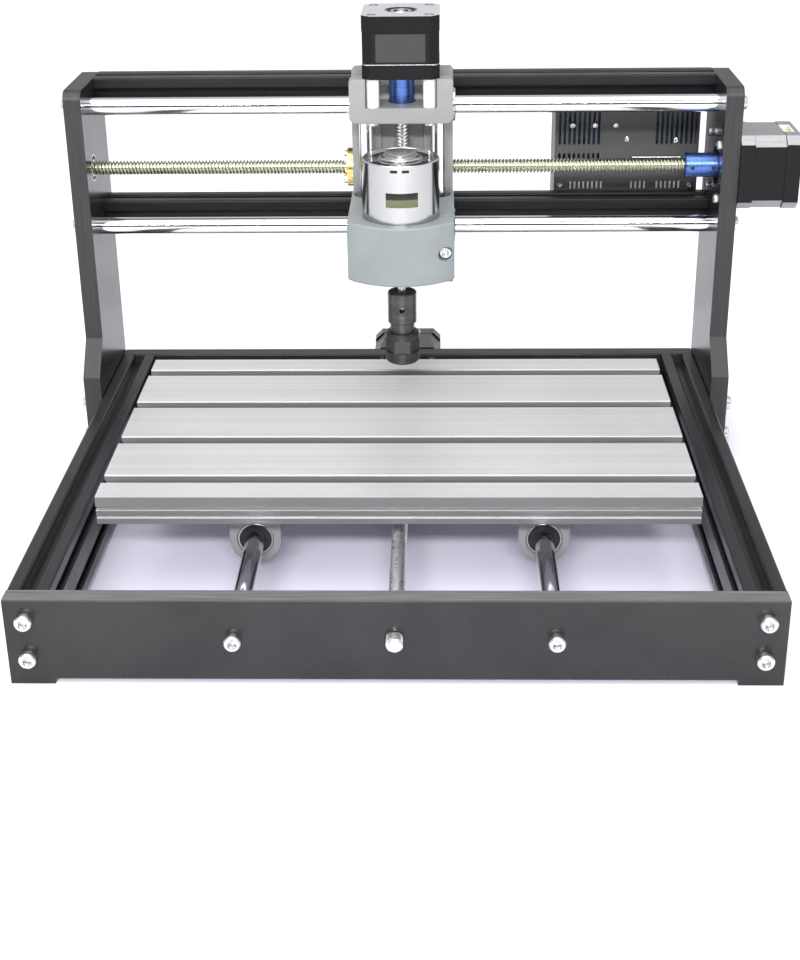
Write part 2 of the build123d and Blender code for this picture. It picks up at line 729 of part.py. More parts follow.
with BuildPart() as carriage_frame:
    # Upper arm, lower arm and the wall that joins them behind the slide.
    with BuildSketch(along(-carriage_half)):
        with BuildLine():
            Polyline(
                (carriage_front, carriage_foot),
                (carriage_back, carriage_foot),
                (carriage_back, lower_rod_z + housing_half),
                (carriage_wall + carriage_web, lower_rod_z + housing_half),
                (carriage_wall + carriage_web, upper_rod_z - housing_half),
                (carriage_back, upper_rod_z - housing_half),
                (carriage_back, housing_top),
                (carriage_wall + 2.0, housing_top),
                (carriage_wall, carriage_deck),
                (carriage_front, carriage_deck),
                (carriage_front, carriage_roof),
                (carriage_wall, carriage_roof),
                (carriage_wall, carriage_floor),
                (carriage_front, carriage_floor),
                close=True,
            )
        make_face()
    extrude(amount=2 * carriage_half)
    # Side walls that close the gap between the two bearing housings.
    for x in (-carriage_half, carriage_half - side_wall):
        with BuildSketch(along(x)):
            with Locations(((carriage_wall + carriage_back) / 2, (lower_rod_z + upper_rod_z) / 2)):
                Rectangle(carriage_back - carriage_wall, upper_rod_z - lower_rod_z)
        extrude(amount=side_wall)
    # Corner posts that carry the motor together with the round standoffs.
    post_places = [
        (side * (post_inner + carriage_half) / 2, y)
        for side in (-1, 1)
        for y in (carriage_front + post_depth / 2, 263.0)
    ]
    with BuildSketch(level(carriage_deck - 1.0)):
        with Locations(*post_places):
            Rectangle(carriage_half - post_inner, post_depth)
    extrude(amount=motor_seat_z - carriage_deck + 1.0)
    # Softened outer corners of the upper arm, of the lower arm and of the posts' tops.
    sides = carriage_frame.edges().filter_by(lambda edge: abs(abs(edge.center().X) - carriage_half) < 0.01)
    arm_corners = sides.filter_by(Axis.Y).filter_by(lambda edge: edge.center().Y < carriage_wall)
    chamfer(arm_corners.filter_by(lambda edge: abs(edge.center().Z - carriage_roof) < 0.01), arm_bevel)
    sides = carriage_frame.edges().filter_by(lambda edge: abs(abs(edge.center().X) - carriage_half) < 0.01)
    chamfer(sides.filter_by(Axis.Y).group_by(Axis.Z)[-1], 1.5)
    # Boss for the X nut, then the bores.
    with BuildSketch(along(-carriage_half)):
        with Locations((x_axis_y, x_screw_z)):
            Circle(12.5)
    extrude(amount=12.0)
    with BuildSketch(along(-carriage_half)):
        with Locations((x_axis_y, x_screw_z)):
            Circle(nut_barrel_r + seat_gap)
            with PolarLocations(nut_bolt_circle, 4, start_angle=45):
                Circle(1.5 + running_gap)
    extrude(amount=12.0, mode=Mode.SUBTRACT)
    with BuildSketch(along(carriage_half - side_wall)):
        with Locations((x_axis_y, x_screw_z)):
            Circle(tunnel_r)
    extrude(amount=side_wall, mode=Mode.SUBTRACT)
    with BuildSketch(along(-carriage_half)):
        with Locations((x_axis_y, upper_rod_z), (x_axis_y, lower_rod_z)):
            Circle(x_bearing_outer + seat_gap)
    extrude(amount=2 * carriage_half, mode=Mode.SUBTRACT)
    with BuildSketch(level(carriage_foot)):
        with Locations((-z_rod_x, z_rod_y), (z_rod_x, z_rod_y)):
            Circle(z_rod_r + seat_gap)
    extrude(amount=carriage_deck - carriage_foot, mode=Mode.SUBTRACT)
    with BuildSketch(level(z_screw_foot - 0.5)):
        with Locations((0, z_axis_y)):
            Circle(screw_r + running_gap)
    extrude(amount=carriage_roof - z_screw_foot, mode=Mode.SUBTRACT)
    with BuildSketch(level(carriage_roof - 1.0)):
        with Locations((0, z_axis_y)):
            Circle(coupler_r + 0.6)
    extrude(amount=motor_seat_z - carriage_roof, mode=Mode.SUBTRACT)
    # Channel behind the slide that passes the Z nut, and the seats of the motor's standoffs.
    with BuildSketch(level(carriage_floor)):
        with Locations((0, (carriage_wall + nut_channel_back) / 2 - 1.0)):
            Rectangle(2 * nut_channel_half, nut_channel_back - carriage_wall + 2.0)
    extrude(amount=carriage_roof - carriage_floor, mode=Mode.SUBTRACT)
    for seat, places in standoff_seats:
        with BuildSketch(level(seat)):
            with Locations(*places):
                Circle(standoff_r + seat_gap)
        extrude(amount=motor_seat_z - seat, mode=Mode.SUBTRACT)
    with BuildSketch(level(carriage_roof)):
        with Locations(*front_standoffs):
            Circle(1.5 + running_gap)
    extrude(amount=motor_seat_z - carriage_roof, mode=Mode.SUBTRACT)

x_bearing_starts = (-30.0, 1.0)

with BuildPart() as x_linear_bearings:
    for z in (upper_rod_z, lower_rod_z):
        for x in x_bearing_starts:
            with Locations(Plane(origin=(x, x_axis_y, z), x_dir=(0, 1, 0), z_dir=(1, 0, 0))):
                add(bushing_10)

x_nut_plane = Plane(origin=(-carriage_half, x_axis_y, x_screw_z), x_dir=(0, 1, 0), z_dir=(1, 0, 0))
x_brass_nut = flanged_nut(x_nut_plane)

with BuildPart() as z_rods:
    with BuildSketch(level(carriage_foot)):
        with Locations((-z_rod_x, z_rod_y), (z_rod_x, z_rod_y)):
            Circle(z_rod_r)
    extrude(amount=carriage_deck - carriage_foot)
    chamfer(z_rods.edges().filter_by(GeomType.CIRCLE), 0.6)

with BuildPart() as motor_standoffs:
    for seat, places in standoff_seats:
        with BuildSketch(level(seat)):
            with Locations(*places):
                Circle(standoff_r)
                Circle(1.5 + running_gap, mode=Mode.SUBTRACT)
        extrude(amount=motor_seat_z - seat)

# M3 screws: two up through the arm and the front standoffs into the motor, and the X nut's four.
under_arm = Plane(origin=(0, z_axis_y, carriage_roof), x_dir=(1, 0, 0), z_dir=(0, 0, -1))
left_face = Plane(
    origin=(-carriage_half - nut_flange, x_axis_y, x_screw_z), x_dir=(0, 1, 0), z_dir=(-1, 0, 0)
)
arm_m3 = cap_screw(1.5, m3_head_r, 1.6, motor_seat_z - carriage_roof + screw_in)

with BuildPart() as carriage_screws:
    with Locations(under_arm):
        with Locations((-motor_bolts / 2, motor_bolts / 2), (motor_bolts / 2, motor_bolts / 2)):
            add(arm_m3)
    with Locations(left_face):
        with PolarLocations(nut_bolt_circle, 4, start_angle=45):
            add(nut_m3)

# ================================================================ Z slide
holder_side_y = 190.0        # the straight sides end here and the round nose begins
holder_nose_y = 177.0
clamp_slit = 2.0
z_bearing_outer = 7.5
z_bearing_length = 24.0
slide_nut_z = slide_top - nut_flange
clamp_x = 24.0
clamp_z = 149.0
clamp_recess = 14.5          # from the nose to the seat of the clamp screw's head

with BuildPart() as spindle_holder:
    with BuildSketch(level(slide_foot)):
        with BuildLine():
            Line((slide_half, holder_side_y), (slide_half, slide_back))
            Line((slide_half, slide_back), (-slide_half, slide_back))
            Line((-slide_half, slide_back), (-slide_half, holder_side_y))
            ThreePointArc((-slide_half, holder_side_y), (0, holder_nose_y), (slide_half, holder_side_y))
        make_face()
    extrude(amount=slide_top - slide_foot)
    fillet(spindle_holder.edges().filter_by(Axis.Z).group_by(Axis.Y)[0], 3.0)
    fillet(spindle_holder.edges().group_by(Axis.Z)[0], 1.2)
    fillet(spindle_holder.edges().group_by(Axis.Z)[-1], 1.2)
    # Bores for the motor, the ball bushings and the Z nut, and the clamp's slit on the right.
    with BuildSketch(level(slide_foot)):
        with Locations((0, spindle_y)):
            Circle(can_r + seat_gap)
        with Locations((-z_rod_x, z_rod_y), (z_rod_x, z_rod_y)):
            Circle(z_bearing_outer + seat_gap)
        with Locations((0, z_axis_y)):
            Circle(nut_barrel_r + seat_gap)
        with Locations((slide_half - 5.0, spindle_y - 3.0)):
            Rectangle(14.0, clamp_slit)
    extrude(amount=slide_top - slide_foot, mode=Mode.SUBTRACT)
    with BuildSketch(level(slide_top)):
        with Locations((0, z_axis_y)):
            Circle(nut_flange_r + 0.1)
    extrude(amount=-nut_flange, mode=Mode.SUBTRACT)
    with BuildSketch(across(holder_nose_y)):
        with Locations((clamp_x, clamp_z)):
            Circle(2.0 + running_gap)
    extrude(amount=-40.0, mode=Mode.SUBTRACT)
    with BuildSketch(across(holder_nose_y)):
        with Locations((clamp_x, clamp_z)):
            Circle(3.8)
    extrude(amount=-clamp_recess, mode=Mode.SUBTRACT)

bushing_8 = linear_bearing(z_bearing_outer, z_rod_r + running_gap, z_bearing_length)

with BuildPart() as z_linear_bearings:
    for side in (-1, 1):
        with Locations((side * z_rod_x, z_rod_y, (slide_foot + slide_top - z_bearing_length) / 2)):
            add(bushing_8)

# The flange is trimmed flat at the back, where it runs in the carriage's channel.
with BuildPart() as z_brass_nut:
    with BuildSketch(level(slide_top)):
        with Locations((0, z_axis_y)):
            Circle(nut_flange_r)
            Circle(screw_r + running_gap, mode=Mode.SUBTRACT)
        with Locations((0, z_axis_y + 5.3 + nut_flange_r / 2)):
            Rectangle(2 * nut_flange_r, nut_flange_r, mode=Mode.SUBTRACT)
    extrude(amount=-nut_flange)
    with BuildSketch(level(slide_nut_z)):
        with Locations((0, z_axis_y)):
            Circle(nut_barrel_r)
            Circle(screw_r + running_gap, mode=Mode.SUBTRACT)
    extrude(amount=-nut_barrel)

clamp_seat = Plane(
    origin=(clamp_x, holder_nose_y + clamp_recess, clamp_z), x_dir=(1, 0, 0), z_dir=(0, -1, 0)
)
clamp_m4 = cap_screw(2.0, 3.5, 4.0, 22.0)

with BuildPart() as clamp_screw:
    with Locations(clamp_seat):
        add(clamp_m4)

# Spindle motor: steel can, end cap with brush housings and terminals.
wall = 1.5
boss_r = 8.75
boss_high = 4.5
lid_high = 3.0

with BuildPart() as spindle_can:
    with BuildSketch(level(slide_foot)):
        with Locations((0, spindle_y)):
            Circle(can_r)
    extrude(amount=can_top - slide_foot)
    fillet(edges().filter_by(GeomType.CIRCLE).group_by(Axis.Z)[0], 1.5)
    with BuildSketch(level(slide_foot)):
        with Locations((0, spindle_y)):
            Circle(boss_r)
    extrude(amount=-boss_high)
    with BuildSketch(level(slide_foot + wall)):
        with Locations((0, spindle_y)):
            Circle(can_r - wall)
    extrude(amount=can_top - slide_foot - wall, mode=Mode.SUBTRACT)
    with BuildSketch(level(slide_foot - boss_high)):
        with Locations((0, spindle_y)):
            Circle(shaft_r + running_gap)
    extrude(amount=boss_high + wall, mode=Mode.SUBTRACT)

with BuildPart() as spindle_end_cap:
    with BuildSketch(level(can_top - lid_high)):
        with Locations((0, spindle_y)):
            Circle(can_r - wall - seat_gap)
    extrude(amount=lid_high - 0.6)
    with BuildSketch(level(can_top - 0.6)):
        with Locations((0, spindle_y)):
            Circle(12.0)
    extrude(amount=1.2)
    with BuildSketch(level(can_top + 0.6)):
        with Locations((0, spindle_y)):
            Circle(8.5)
    extrude(amount=2.6)
    with BuildSketch(level(can_top - 0.6)):
        with Locations((-15.5, spindle_y), (15.5, spindle_y)):
            Rectangle(0.8, 4.8)
    extrude(amount=5.0)
    with BuildSketch(level(can_top - lid_high)):
        with Locations((0, spindle_y)):
            Circle(shaft_r + running_gap)
    extrude(amount=lid_high + 2.0, mode=Mode.SUBTRACT)

# ================================================================ turning spindle
chuck_top = 122.0
chuck_r = 8.0
neck_top = 104.0
neck_r = 6.75
nut_top = 98.7
nut_foot = 81.0
nut_r = 9.5
collet_face = 79.5
shank_r = 1.5875             # 3.175 mm tool shanks
armature_r = 16.0

with BuildPart() as spindle_shaft:
    with BuildSketch(level(chuck_top - 14.0)):
        with Locations((0, spindle_y)):
            Circle(shaft_r)
    extrude(amount=can_top + 1.0 - chuck_top + 14.0)
    with BuildSketch(level(slide_foot + 8.0)):
        with Locations((0, spindle_y)):
            Circle(armature_r)
    extrude(amount=can_top - lid_high - slide_foot - 16.0)

with BuildPart() as chuck_body:
    with BuildSketch(level(neck_top)):
        with Locations((0, spindle_y)):
            Circle(chuck_r)
    extrude(amount=chuck_top - neck_top)
    chamfer(edges().filter_by(GeomType.CIRCLE), 0.5)
    with BuildSketch(level(nut_foot + 4.0)):
        with Locations((0, spindle_y)):
            Circle(neck_r)
    extrude(amount=neck_top - nut_foot - 4.0)
    with BuildSketch(level(chuck_top)):
        with Locations((0, spindle_y)):
            Circle(shaft_r + seat_gap)
    extrude(amount=-14.0, mode=Mode.SUBTRACT)
    with BuildSketch(Plane(origin=(0, spindle_y, 113.0), x_dir=(1, 0, 0), z_dir=(0, -1, 0))):
        Circle(1.6)
    extrude(amount=chuck_r + 1.0, both=True, mode=Mode.SUBTRACT)
    with BuildSketch(level(nut_foot + 4.0)):
        with Locations((0, spindle_y)):
            Circle(5.5)
    extrude(amount=14.0, mode=Mode.SUBTRACT)

with BuildPart() as collet:
    with BuildSketch(level(collet_face)):
        with Locations((0, spindle_y)):
            Circle(4.2)
    extrude(amount=nut_foot - collet_face)
    with BuildSketch(level(nut_foot)):
        with Locations((0, spindle_y)):
            Circle(4.2)
    with BuildSketch(level(nut_foot + 4.0)):
        with Locations((0, spindle_y)):
            Circle(5.45)
    loft()
    with BuildSketch(level(nut_foot + 4.0)):
        with Locations((0, spindle_y)):
            Circle(5.45)
    extrude(amount=13.5)
    with BuildSketch(level(collet_face)):
        with Locations((0, spindle_y)):
            Circle(shank_r)
    extrude(amount=nut_foot + 4.0 + 13.5 - collet_face, mode=Mode.SUBTRACT)

with BuildPart() as collet_nut:
    with BuildSketch(level(nut_foot)):
        with Locations((0, spindle_y)):
            Circle(nut_r)
    extrude(amount=nut_top - nut_foot)
    chamfer(edges().filter_by(GeomType.CIRCLE), 1.0)
    with BuildSketch(level(nut_foot)):
        with Locations((0, spindle_y)):
            Circle(4.3)
    with BuildSketch(level(nut_foot + 4.0)):
        with Locations((0, spindle_y)):
            Circle(5.55)
    loft(mode=Mode.SUBTRACT)
    with BuildSketch(level(nut_foot + 4.0)):
        with Locations((0, spindle_y)):
            Circle(neck_r + seat_gap)
    extrude(amount=nut_top - nut_foot - 4.0, mode=Mode.SUBTRACT)
    with BuildSketch(level(nut_foot + 6.5)):
        with Locations((0, spindle_y)):
            Circle(nut_r + 1.0)
            RegularPolygon(8.5, 6, major_radius=False, mode=Mode.SUBTRACT)
    extrude(amount=7.5, mode=Mode.SUBTRACT)

# ================================================================ controller
case_left = 90.0
case_right = 176.0
case_front = bar_y + bar_size / 2             # the case hangs on the back of the crossbars
case_back = 335.0
case_foot = 128.0
case_top = 216.0
case_wall = 2.0
case_middle = (case_left + case_right) / 2
case_wide = case_right - case_left
case_high = case_top - case_foot
case_lift = (case_foot + case_top) / 2
fan_size = 40.0
fan_x = 114.0
fan_z = 190.0
board_y = 312.0
board_thick = 1.6
part_face = board_y + board_thick
connector_z = case_foot + 10.0
slot_rows = [
    # middle x, middle z, count, pitch, width, height
    (104.5, 190.5, 9, 2.9, 1.4, 24.0),
    (162.5, 190.5, 9, 2.9, 1.4, 24.0),
    (104.5, 170.5, 9, 2.9, 1.4, 5.5),
    (109.2, 153.6, 8, 2.64, 1.2, 4.8),
    (140.6, 153.6, 4, 2.64, 1.2, 4.8),
    (158.6, 153.6, 6, 2.64, 1.2, 4.8),
]
case_bolts = [(x, lower_bar_z) for x in (96.0, 133.0, 170.0)]

with BuildPart() as controller_case:
    with BuildSketch(across(case_front)):
        with Locations((case_middle, case_lift)):
            RectangleRounded(case_wide, case_high, 2.0)
    extrude(amount=-(case_back - case_wall - case_front))
    with BuildSketch(across(case_front + case_wall)):
        with Locations((case_middle, case_lift)):
            Rectangle(case_wide - 2 * case_wall, case_high - 2 * case_wall)
    extrude(amount=-(case_back - case_front), mode=Mode.SUBTRACT)
    with BuildSketch(across(case_front)):
        for x, z, count, pitch, slot_w, slot_h in slot_rows:
            with Locations((x, z)):
                with GridLocations(pitch, 1.0, count, 1):
                    SlotOverall(slot_h, slot_w, rotation=90)
        with Locations((151.0, 170.5)):
            SlotOverall(31.0, 1.6)
        with Locations(*case_bolts):
            Circle(m4_r + running_gap)
    extrude(amount=-case_wall, mode=Mode.SUBTRACT)

# Rear cover with the fan opening and the row of cable cut-outs.
with BuildPart() as controller_cover:
    with BuildSketch(across(case_back - case_wall)):
        with Locations((case_middle, case_lift)):
            RectangleRounded(case_wide, case_high, 2.0)
        with Locations((fan_x, fan_z)):
            Circle(fan_size / 2 - 1.0, mode=Mode.SUBTRACT)
        with Locations((case_middle + 8.0, connector_z)):
            Rectangle(58.0, 10.0, mode=Mode.SUBTRACT)
        with Locations((158.0, fan_z)):
            with GridLocations(1.0, 6.0, 1, 6):
                SlotOverall(22.0, 2.0, mode=Mode.SUBTRACT)
    extrude(amount=-case_wall)

with BuildPart() as controller_board:
    with BuildSketch(across(board_y)):
        with Locations((case_middle, case_lift)):
            Rectangle(case_wide - 2 * case_wall - 0.6, case_high - 2 * case_wall - 0.6)
        with Locations((case_middle, case_lift)):
            with GridLocations(case_wide - 14.0, case_high - 14.0, 2, 2):
                Circle(1.6, mode=Mode.SUBTRACT)
    extrude(amount=-board_thick)

# Finned heat sinks of the motor drivers, and terminal blocks behind the cable cut-outs.
heat_sink = 9.0
with BuildPart() as board_components:
    for x in (145.0, 157.0, 169.0):
        with BuildSketch(across(part_face)):
            with Locations((x, 196.0)):
                Rectangle(heat_sink, heat_sink)
        extrude(amount=-1.5)
        with BuildSketch(across(part_face + 1.5)):
            with Locations((x, 196.0)):
                with GridLocations(2.2, 1.0, 4, 1):
                    Rectangle(1.0, heat_sink)
        extrude(amount=-4.0)
    for x in (117.0, 132.0, 147.0, 162.0):
        with BuildSketch(across(part_face)):
            with Locations((x, connector_z)):
                Rectangle(11.0, 8.0)
        extrude(amount=-14.0)
        with BuildSketch(across(part_face + 14.0)):
            with Locations((x, connector_z)):
                with GridLocations(3.4, 1.0, 3, 1):
                    Rectangle(2.2, 4.0)
        extrude(amount=5.0, mode=Mode.SUBTRACT)

fan_thick = 10.0
fan_back = case_back - case_wall
fan_front = fan_back - fan_thick
hub_r = 9.0
blade_tip = 17.6
blade_count = 7
blade_middle = 12.8          # radius of a blade's middle
blade_length = 12.0
blade_wide = 4.4
blade_sweep = 28.0           # angle between a blade and its radius

with BuildPart() as fan_frame:
    with BuildSketch(across(fan_front)):
        with Locations((fan_x, fan_z)):
            RectangleRounded(fan_size, fan_size, 3.0)
            Circle(fan_size / 2 - 1.5, mode=Mode.SUBTRACT)
            with GridLocations(32.0, 32.0, 2, 2):
                Circle(1.7, mode=Mode.SUBTRACT)
    extrude(amount=-fan_thick)
    with BuildSketch(across(fan_front)):
        with Locations((fan_x, fan_z)):
            Circle(6.0)
            for angle in (20, 140, 260):
                with Locations(Location((0, 0), angle)):
                    Rectangle(fan_size / 2 - 1.0, 2.0, align=(Align.MIN, Align.CENTER))
            Circle(1.0 + running_gap, mode=Mode.SUBTRACT)
    extrude(amount=-1.5)

with BuildPart() as fan_rotor:
    rotor_front = fan_front + 2.5
    with BuildSketch(across(rotor_front)):
        with Locations((fan_x, fan_z)):
            Circle(hub_r)
    extrude(amount=-6.5)
    with BuildSketch(across(fan_front + 0.3)):
        with Locations((fan_x, fan_z)):
            Circle(1.0)
    extrude(amount=-3.0)
    with BuildSketch(across(rotor_front + 0.5)):
        with Locations((fan_x, fan_z)):
            with PolarLocations(blade_middle, blade_count):
                with Locations(Location((0, 0), blade_sweep)):
                    Rectangle(blade_length, blade_wide)
            Circle(blade_tip, mode=Mode.INTERSECT)
    extrude(amount=-5.0)

# ================================================================ frame screws
# M5 screws through the end plates into rails and rods, and through the gantry plates, and
# three M4 screws that hold the controller's case to the lower crossbar.
m5_shank = 22.0
rail_shank = 12.0
side_bolts = [*rod_bolts_side, *bar_bolts_side]

back_plane = Plane(origin=(0, back_y, 0), x_dir=(1, 0, 0), z_dir=(0, 1, 0))
left_plane = Plane(origin=(-gantry_x - plate_thick, 0, 0), x_dir=(0, 1, 0), z_dir=(-1, 0, 0))
right_plane = along(gantry_x + plate_thick)
long_m5 = cap_screw(tapped_r, m5_head_r, m5_head_h, m5_shank)
short_m5 = cap_screw(tapped_r, m5_head_r, m5_head_h, rail_shank)
case_m4 = cap_screw(m4_r, m4_head_r, m4_head_h, case_wall + 5.0)
case_plane = Plane(origin=(0, case_front + case_wall, 0), x_dir=(1, 0, 0), z_dir=(0, 1, 0))
m5_groups = [
    (across(0), (*rail_bolts, *rod_bolts), long_m5),
    (back_plane, [(x, -z) for x, z in (*rail_bolts, *rod_bolts)], long_m5),
    (left_plane, [(y, -z) for y, z in side_bolts], long_m5),
    (left_plane, [(y, -z) for y, z in rail_bolts_side], short_m5),
    (right_plane, side_bolts, long_m5),
    (right_plane, rail_bolts_side, short_m5),
    (case_plane, [(x, -z) for x, z in case_bolts], case_m4),
]

with BuildPart() as frame_screws:
    for plane, places, screw in m5_groups:
        with Locations(plane):
            with Locations(*places):
                add(screw)

# ================================================================ export
pieces = {
    "front_plate": front_plate,
    "rear_plate": rear_plate,
    "left_rail": left_rail,
    "right_rail": right_rail,
    "left_y_rod": left_y_rod,
    "right_y_rod": right_y_rod,
    "left_gantry_plate": left_gantry_plate,
    "right_gantry_plate": right_gantry_plate,
    "upper_crossbar": upper_crossbar,
    "lower_crossbar": lower_crossbar,
    "upper_x_rod": upper_x_rod,
    "lower_x_rod": lower_x_rod,
    "screw_end_bearings": screw_end_bearings,
    "frame_screws": frame_screws,
    "motor_screws": motor_screws,
    "x_motor_stator": x_motor_stator,
    "x_motor_caps": x_motor_caps,
    "y_motor_stator": y_motor_stator,
    "y_motor_caps": y_motor_caps,
    "motor_sockets": motor_sockets,
    "x_lead_screw": x_lead_screw,
    "x_coupler": x_coupler,
    "x_motor_shaft": x_motor_shaft,
    "y_lead_screw": y_lead_screw,
    "y_coupler": y_coupler,
    "y_motor_shaft": y_motor_shaft,
    "table": drilled_table,
    "bearing_holders": bearing_holders,
    "y_linear_bearings": y_linear_bearings,
    "y_nut_block": y_nut_block,
    "y_brass_nut": y_brass_nut,
    "bed_screws": bed_screws,
    "carriage_frame": carriage_frame,
    "x_linear_bearings": x_linear_bearings,
    "x_brass_nut": x_brass_nut,
    "z_rods": z_rods,
    "motor_standoffs": motor_standoffs,
    "carriage_screws": carriage_screws,
    "z_motor_stator": z_motor_stator,
    "z_motor_caps": z_motor_caps,
    "z_motor_socket": z_motor_socket,
    "z_lead_screw": z_lead_screw,
    "z_coupler": z_coupler,
    "z_motor_shaft": z_motor_shaft,
    "spindle_holder": spindle_holder,
    "z_linear_bearings": z_linear_bearings,
    "z_brass_nut": z_brass_nut,
    "clamp_screw": clamp_screw,
    "spindle_can": spindle_can,
    "spindle_end_cap": spindle_end_cap,
    "spindle_shaft": spindle_shaft,
    "chuck_body": chuck_body,
    "collet": collet,
    "collet_nut": collet_nut,
    "controller_case": controller_case,
    "controller_cover": controller_cover,
    "controller_board": controller_board,
    "board_components": board_components,
    "fan_frame": fan_frame,
    "fan_rotor": fan_rotor,
}

for label, piece in pieces.items():
    save(piece, label)
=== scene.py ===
import math

import bmesh
import bpy
from mathutils import Matrix, Vector


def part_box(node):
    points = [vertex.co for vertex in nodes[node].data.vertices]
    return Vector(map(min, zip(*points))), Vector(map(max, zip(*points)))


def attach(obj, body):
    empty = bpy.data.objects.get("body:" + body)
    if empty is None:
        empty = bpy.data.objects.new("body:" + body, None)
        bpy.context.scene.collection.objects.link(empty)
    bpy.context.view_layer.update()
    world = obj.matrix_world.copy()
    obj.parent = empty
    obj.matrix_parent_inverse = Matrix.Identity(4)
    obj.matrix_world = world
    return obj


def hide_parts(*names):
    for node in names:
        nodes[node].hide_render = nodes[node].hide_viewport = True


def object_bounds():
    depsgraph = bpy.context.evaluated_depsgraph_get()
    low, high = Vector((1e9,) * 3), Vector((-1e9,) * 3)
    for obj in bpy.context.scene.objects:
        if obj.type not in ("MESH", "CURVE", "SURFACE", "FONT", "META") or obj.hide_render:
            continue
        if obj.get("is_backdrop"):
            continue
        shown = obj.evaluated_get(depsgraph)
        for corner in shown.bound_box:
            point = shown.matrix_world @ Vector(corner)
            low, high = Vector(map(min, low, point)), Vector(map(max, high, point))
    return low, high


# Desktop CNC router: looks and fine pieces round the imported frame. Blender's own lengths are
# metres in the row frame.
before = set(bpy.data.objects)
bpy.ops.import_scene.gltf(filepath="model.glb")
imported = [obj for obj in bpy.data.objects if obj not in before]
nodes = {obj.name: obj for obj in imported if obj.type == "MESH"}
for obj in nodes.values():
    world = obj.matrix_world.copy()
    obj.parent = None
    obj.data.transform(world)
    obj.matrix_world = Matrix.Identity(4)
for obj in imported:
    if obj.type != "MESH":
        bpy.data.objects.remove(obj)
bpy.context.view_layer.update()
scene = bpy.context.scene

# ---------------------------------------------------------------- places
# Pieces are given in millimetres of the machine frame: x = 0 between the rails, y = 0 on the
# front plate's face, z = 0 on the ground. The front plate's box gives that frame's place.
MM = 0.001
plate_low, plate_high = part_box("front_plate")
ORIGIN = Vector(((plate_low.x + plate_high.x) / 2, plate_low.y, plate_low.z))


def extent(node):
    """The lowest corner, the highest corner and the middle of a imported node, in millimetres."""
    low, high = [(corner - ORIGIN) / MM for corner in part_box(node)]
    return low, high, (low + high) / 2


def at(x, y, z):
    """A point of the machine frame, in metres in the row frame."""
    return ORIGIN + Vector((x, y, z)) * MM


def facing(x, y, z, axis):
    """A local frame in millimetres: origin at the point, z along the axis such as "+Y"."""
    unit = {"X": (1, 0, 0), "Y": (0, 1, 0), "Z": (0, 0, 1)}[axis[1]]
    normal = Vector(unit) * (1 if axis[0] == "+" else -1)
    side = Vector((0, 0, 1)) if axis[1] != "Z" else Vector((0, 1, 0))
    across = side.cross(normal)
    turn = Matrix((across, side, normal)).transposed().to_4x4()
    return Matrix.Translation(at(x, y, z)) @ turn @ Matrix.Scale(MM, 4)


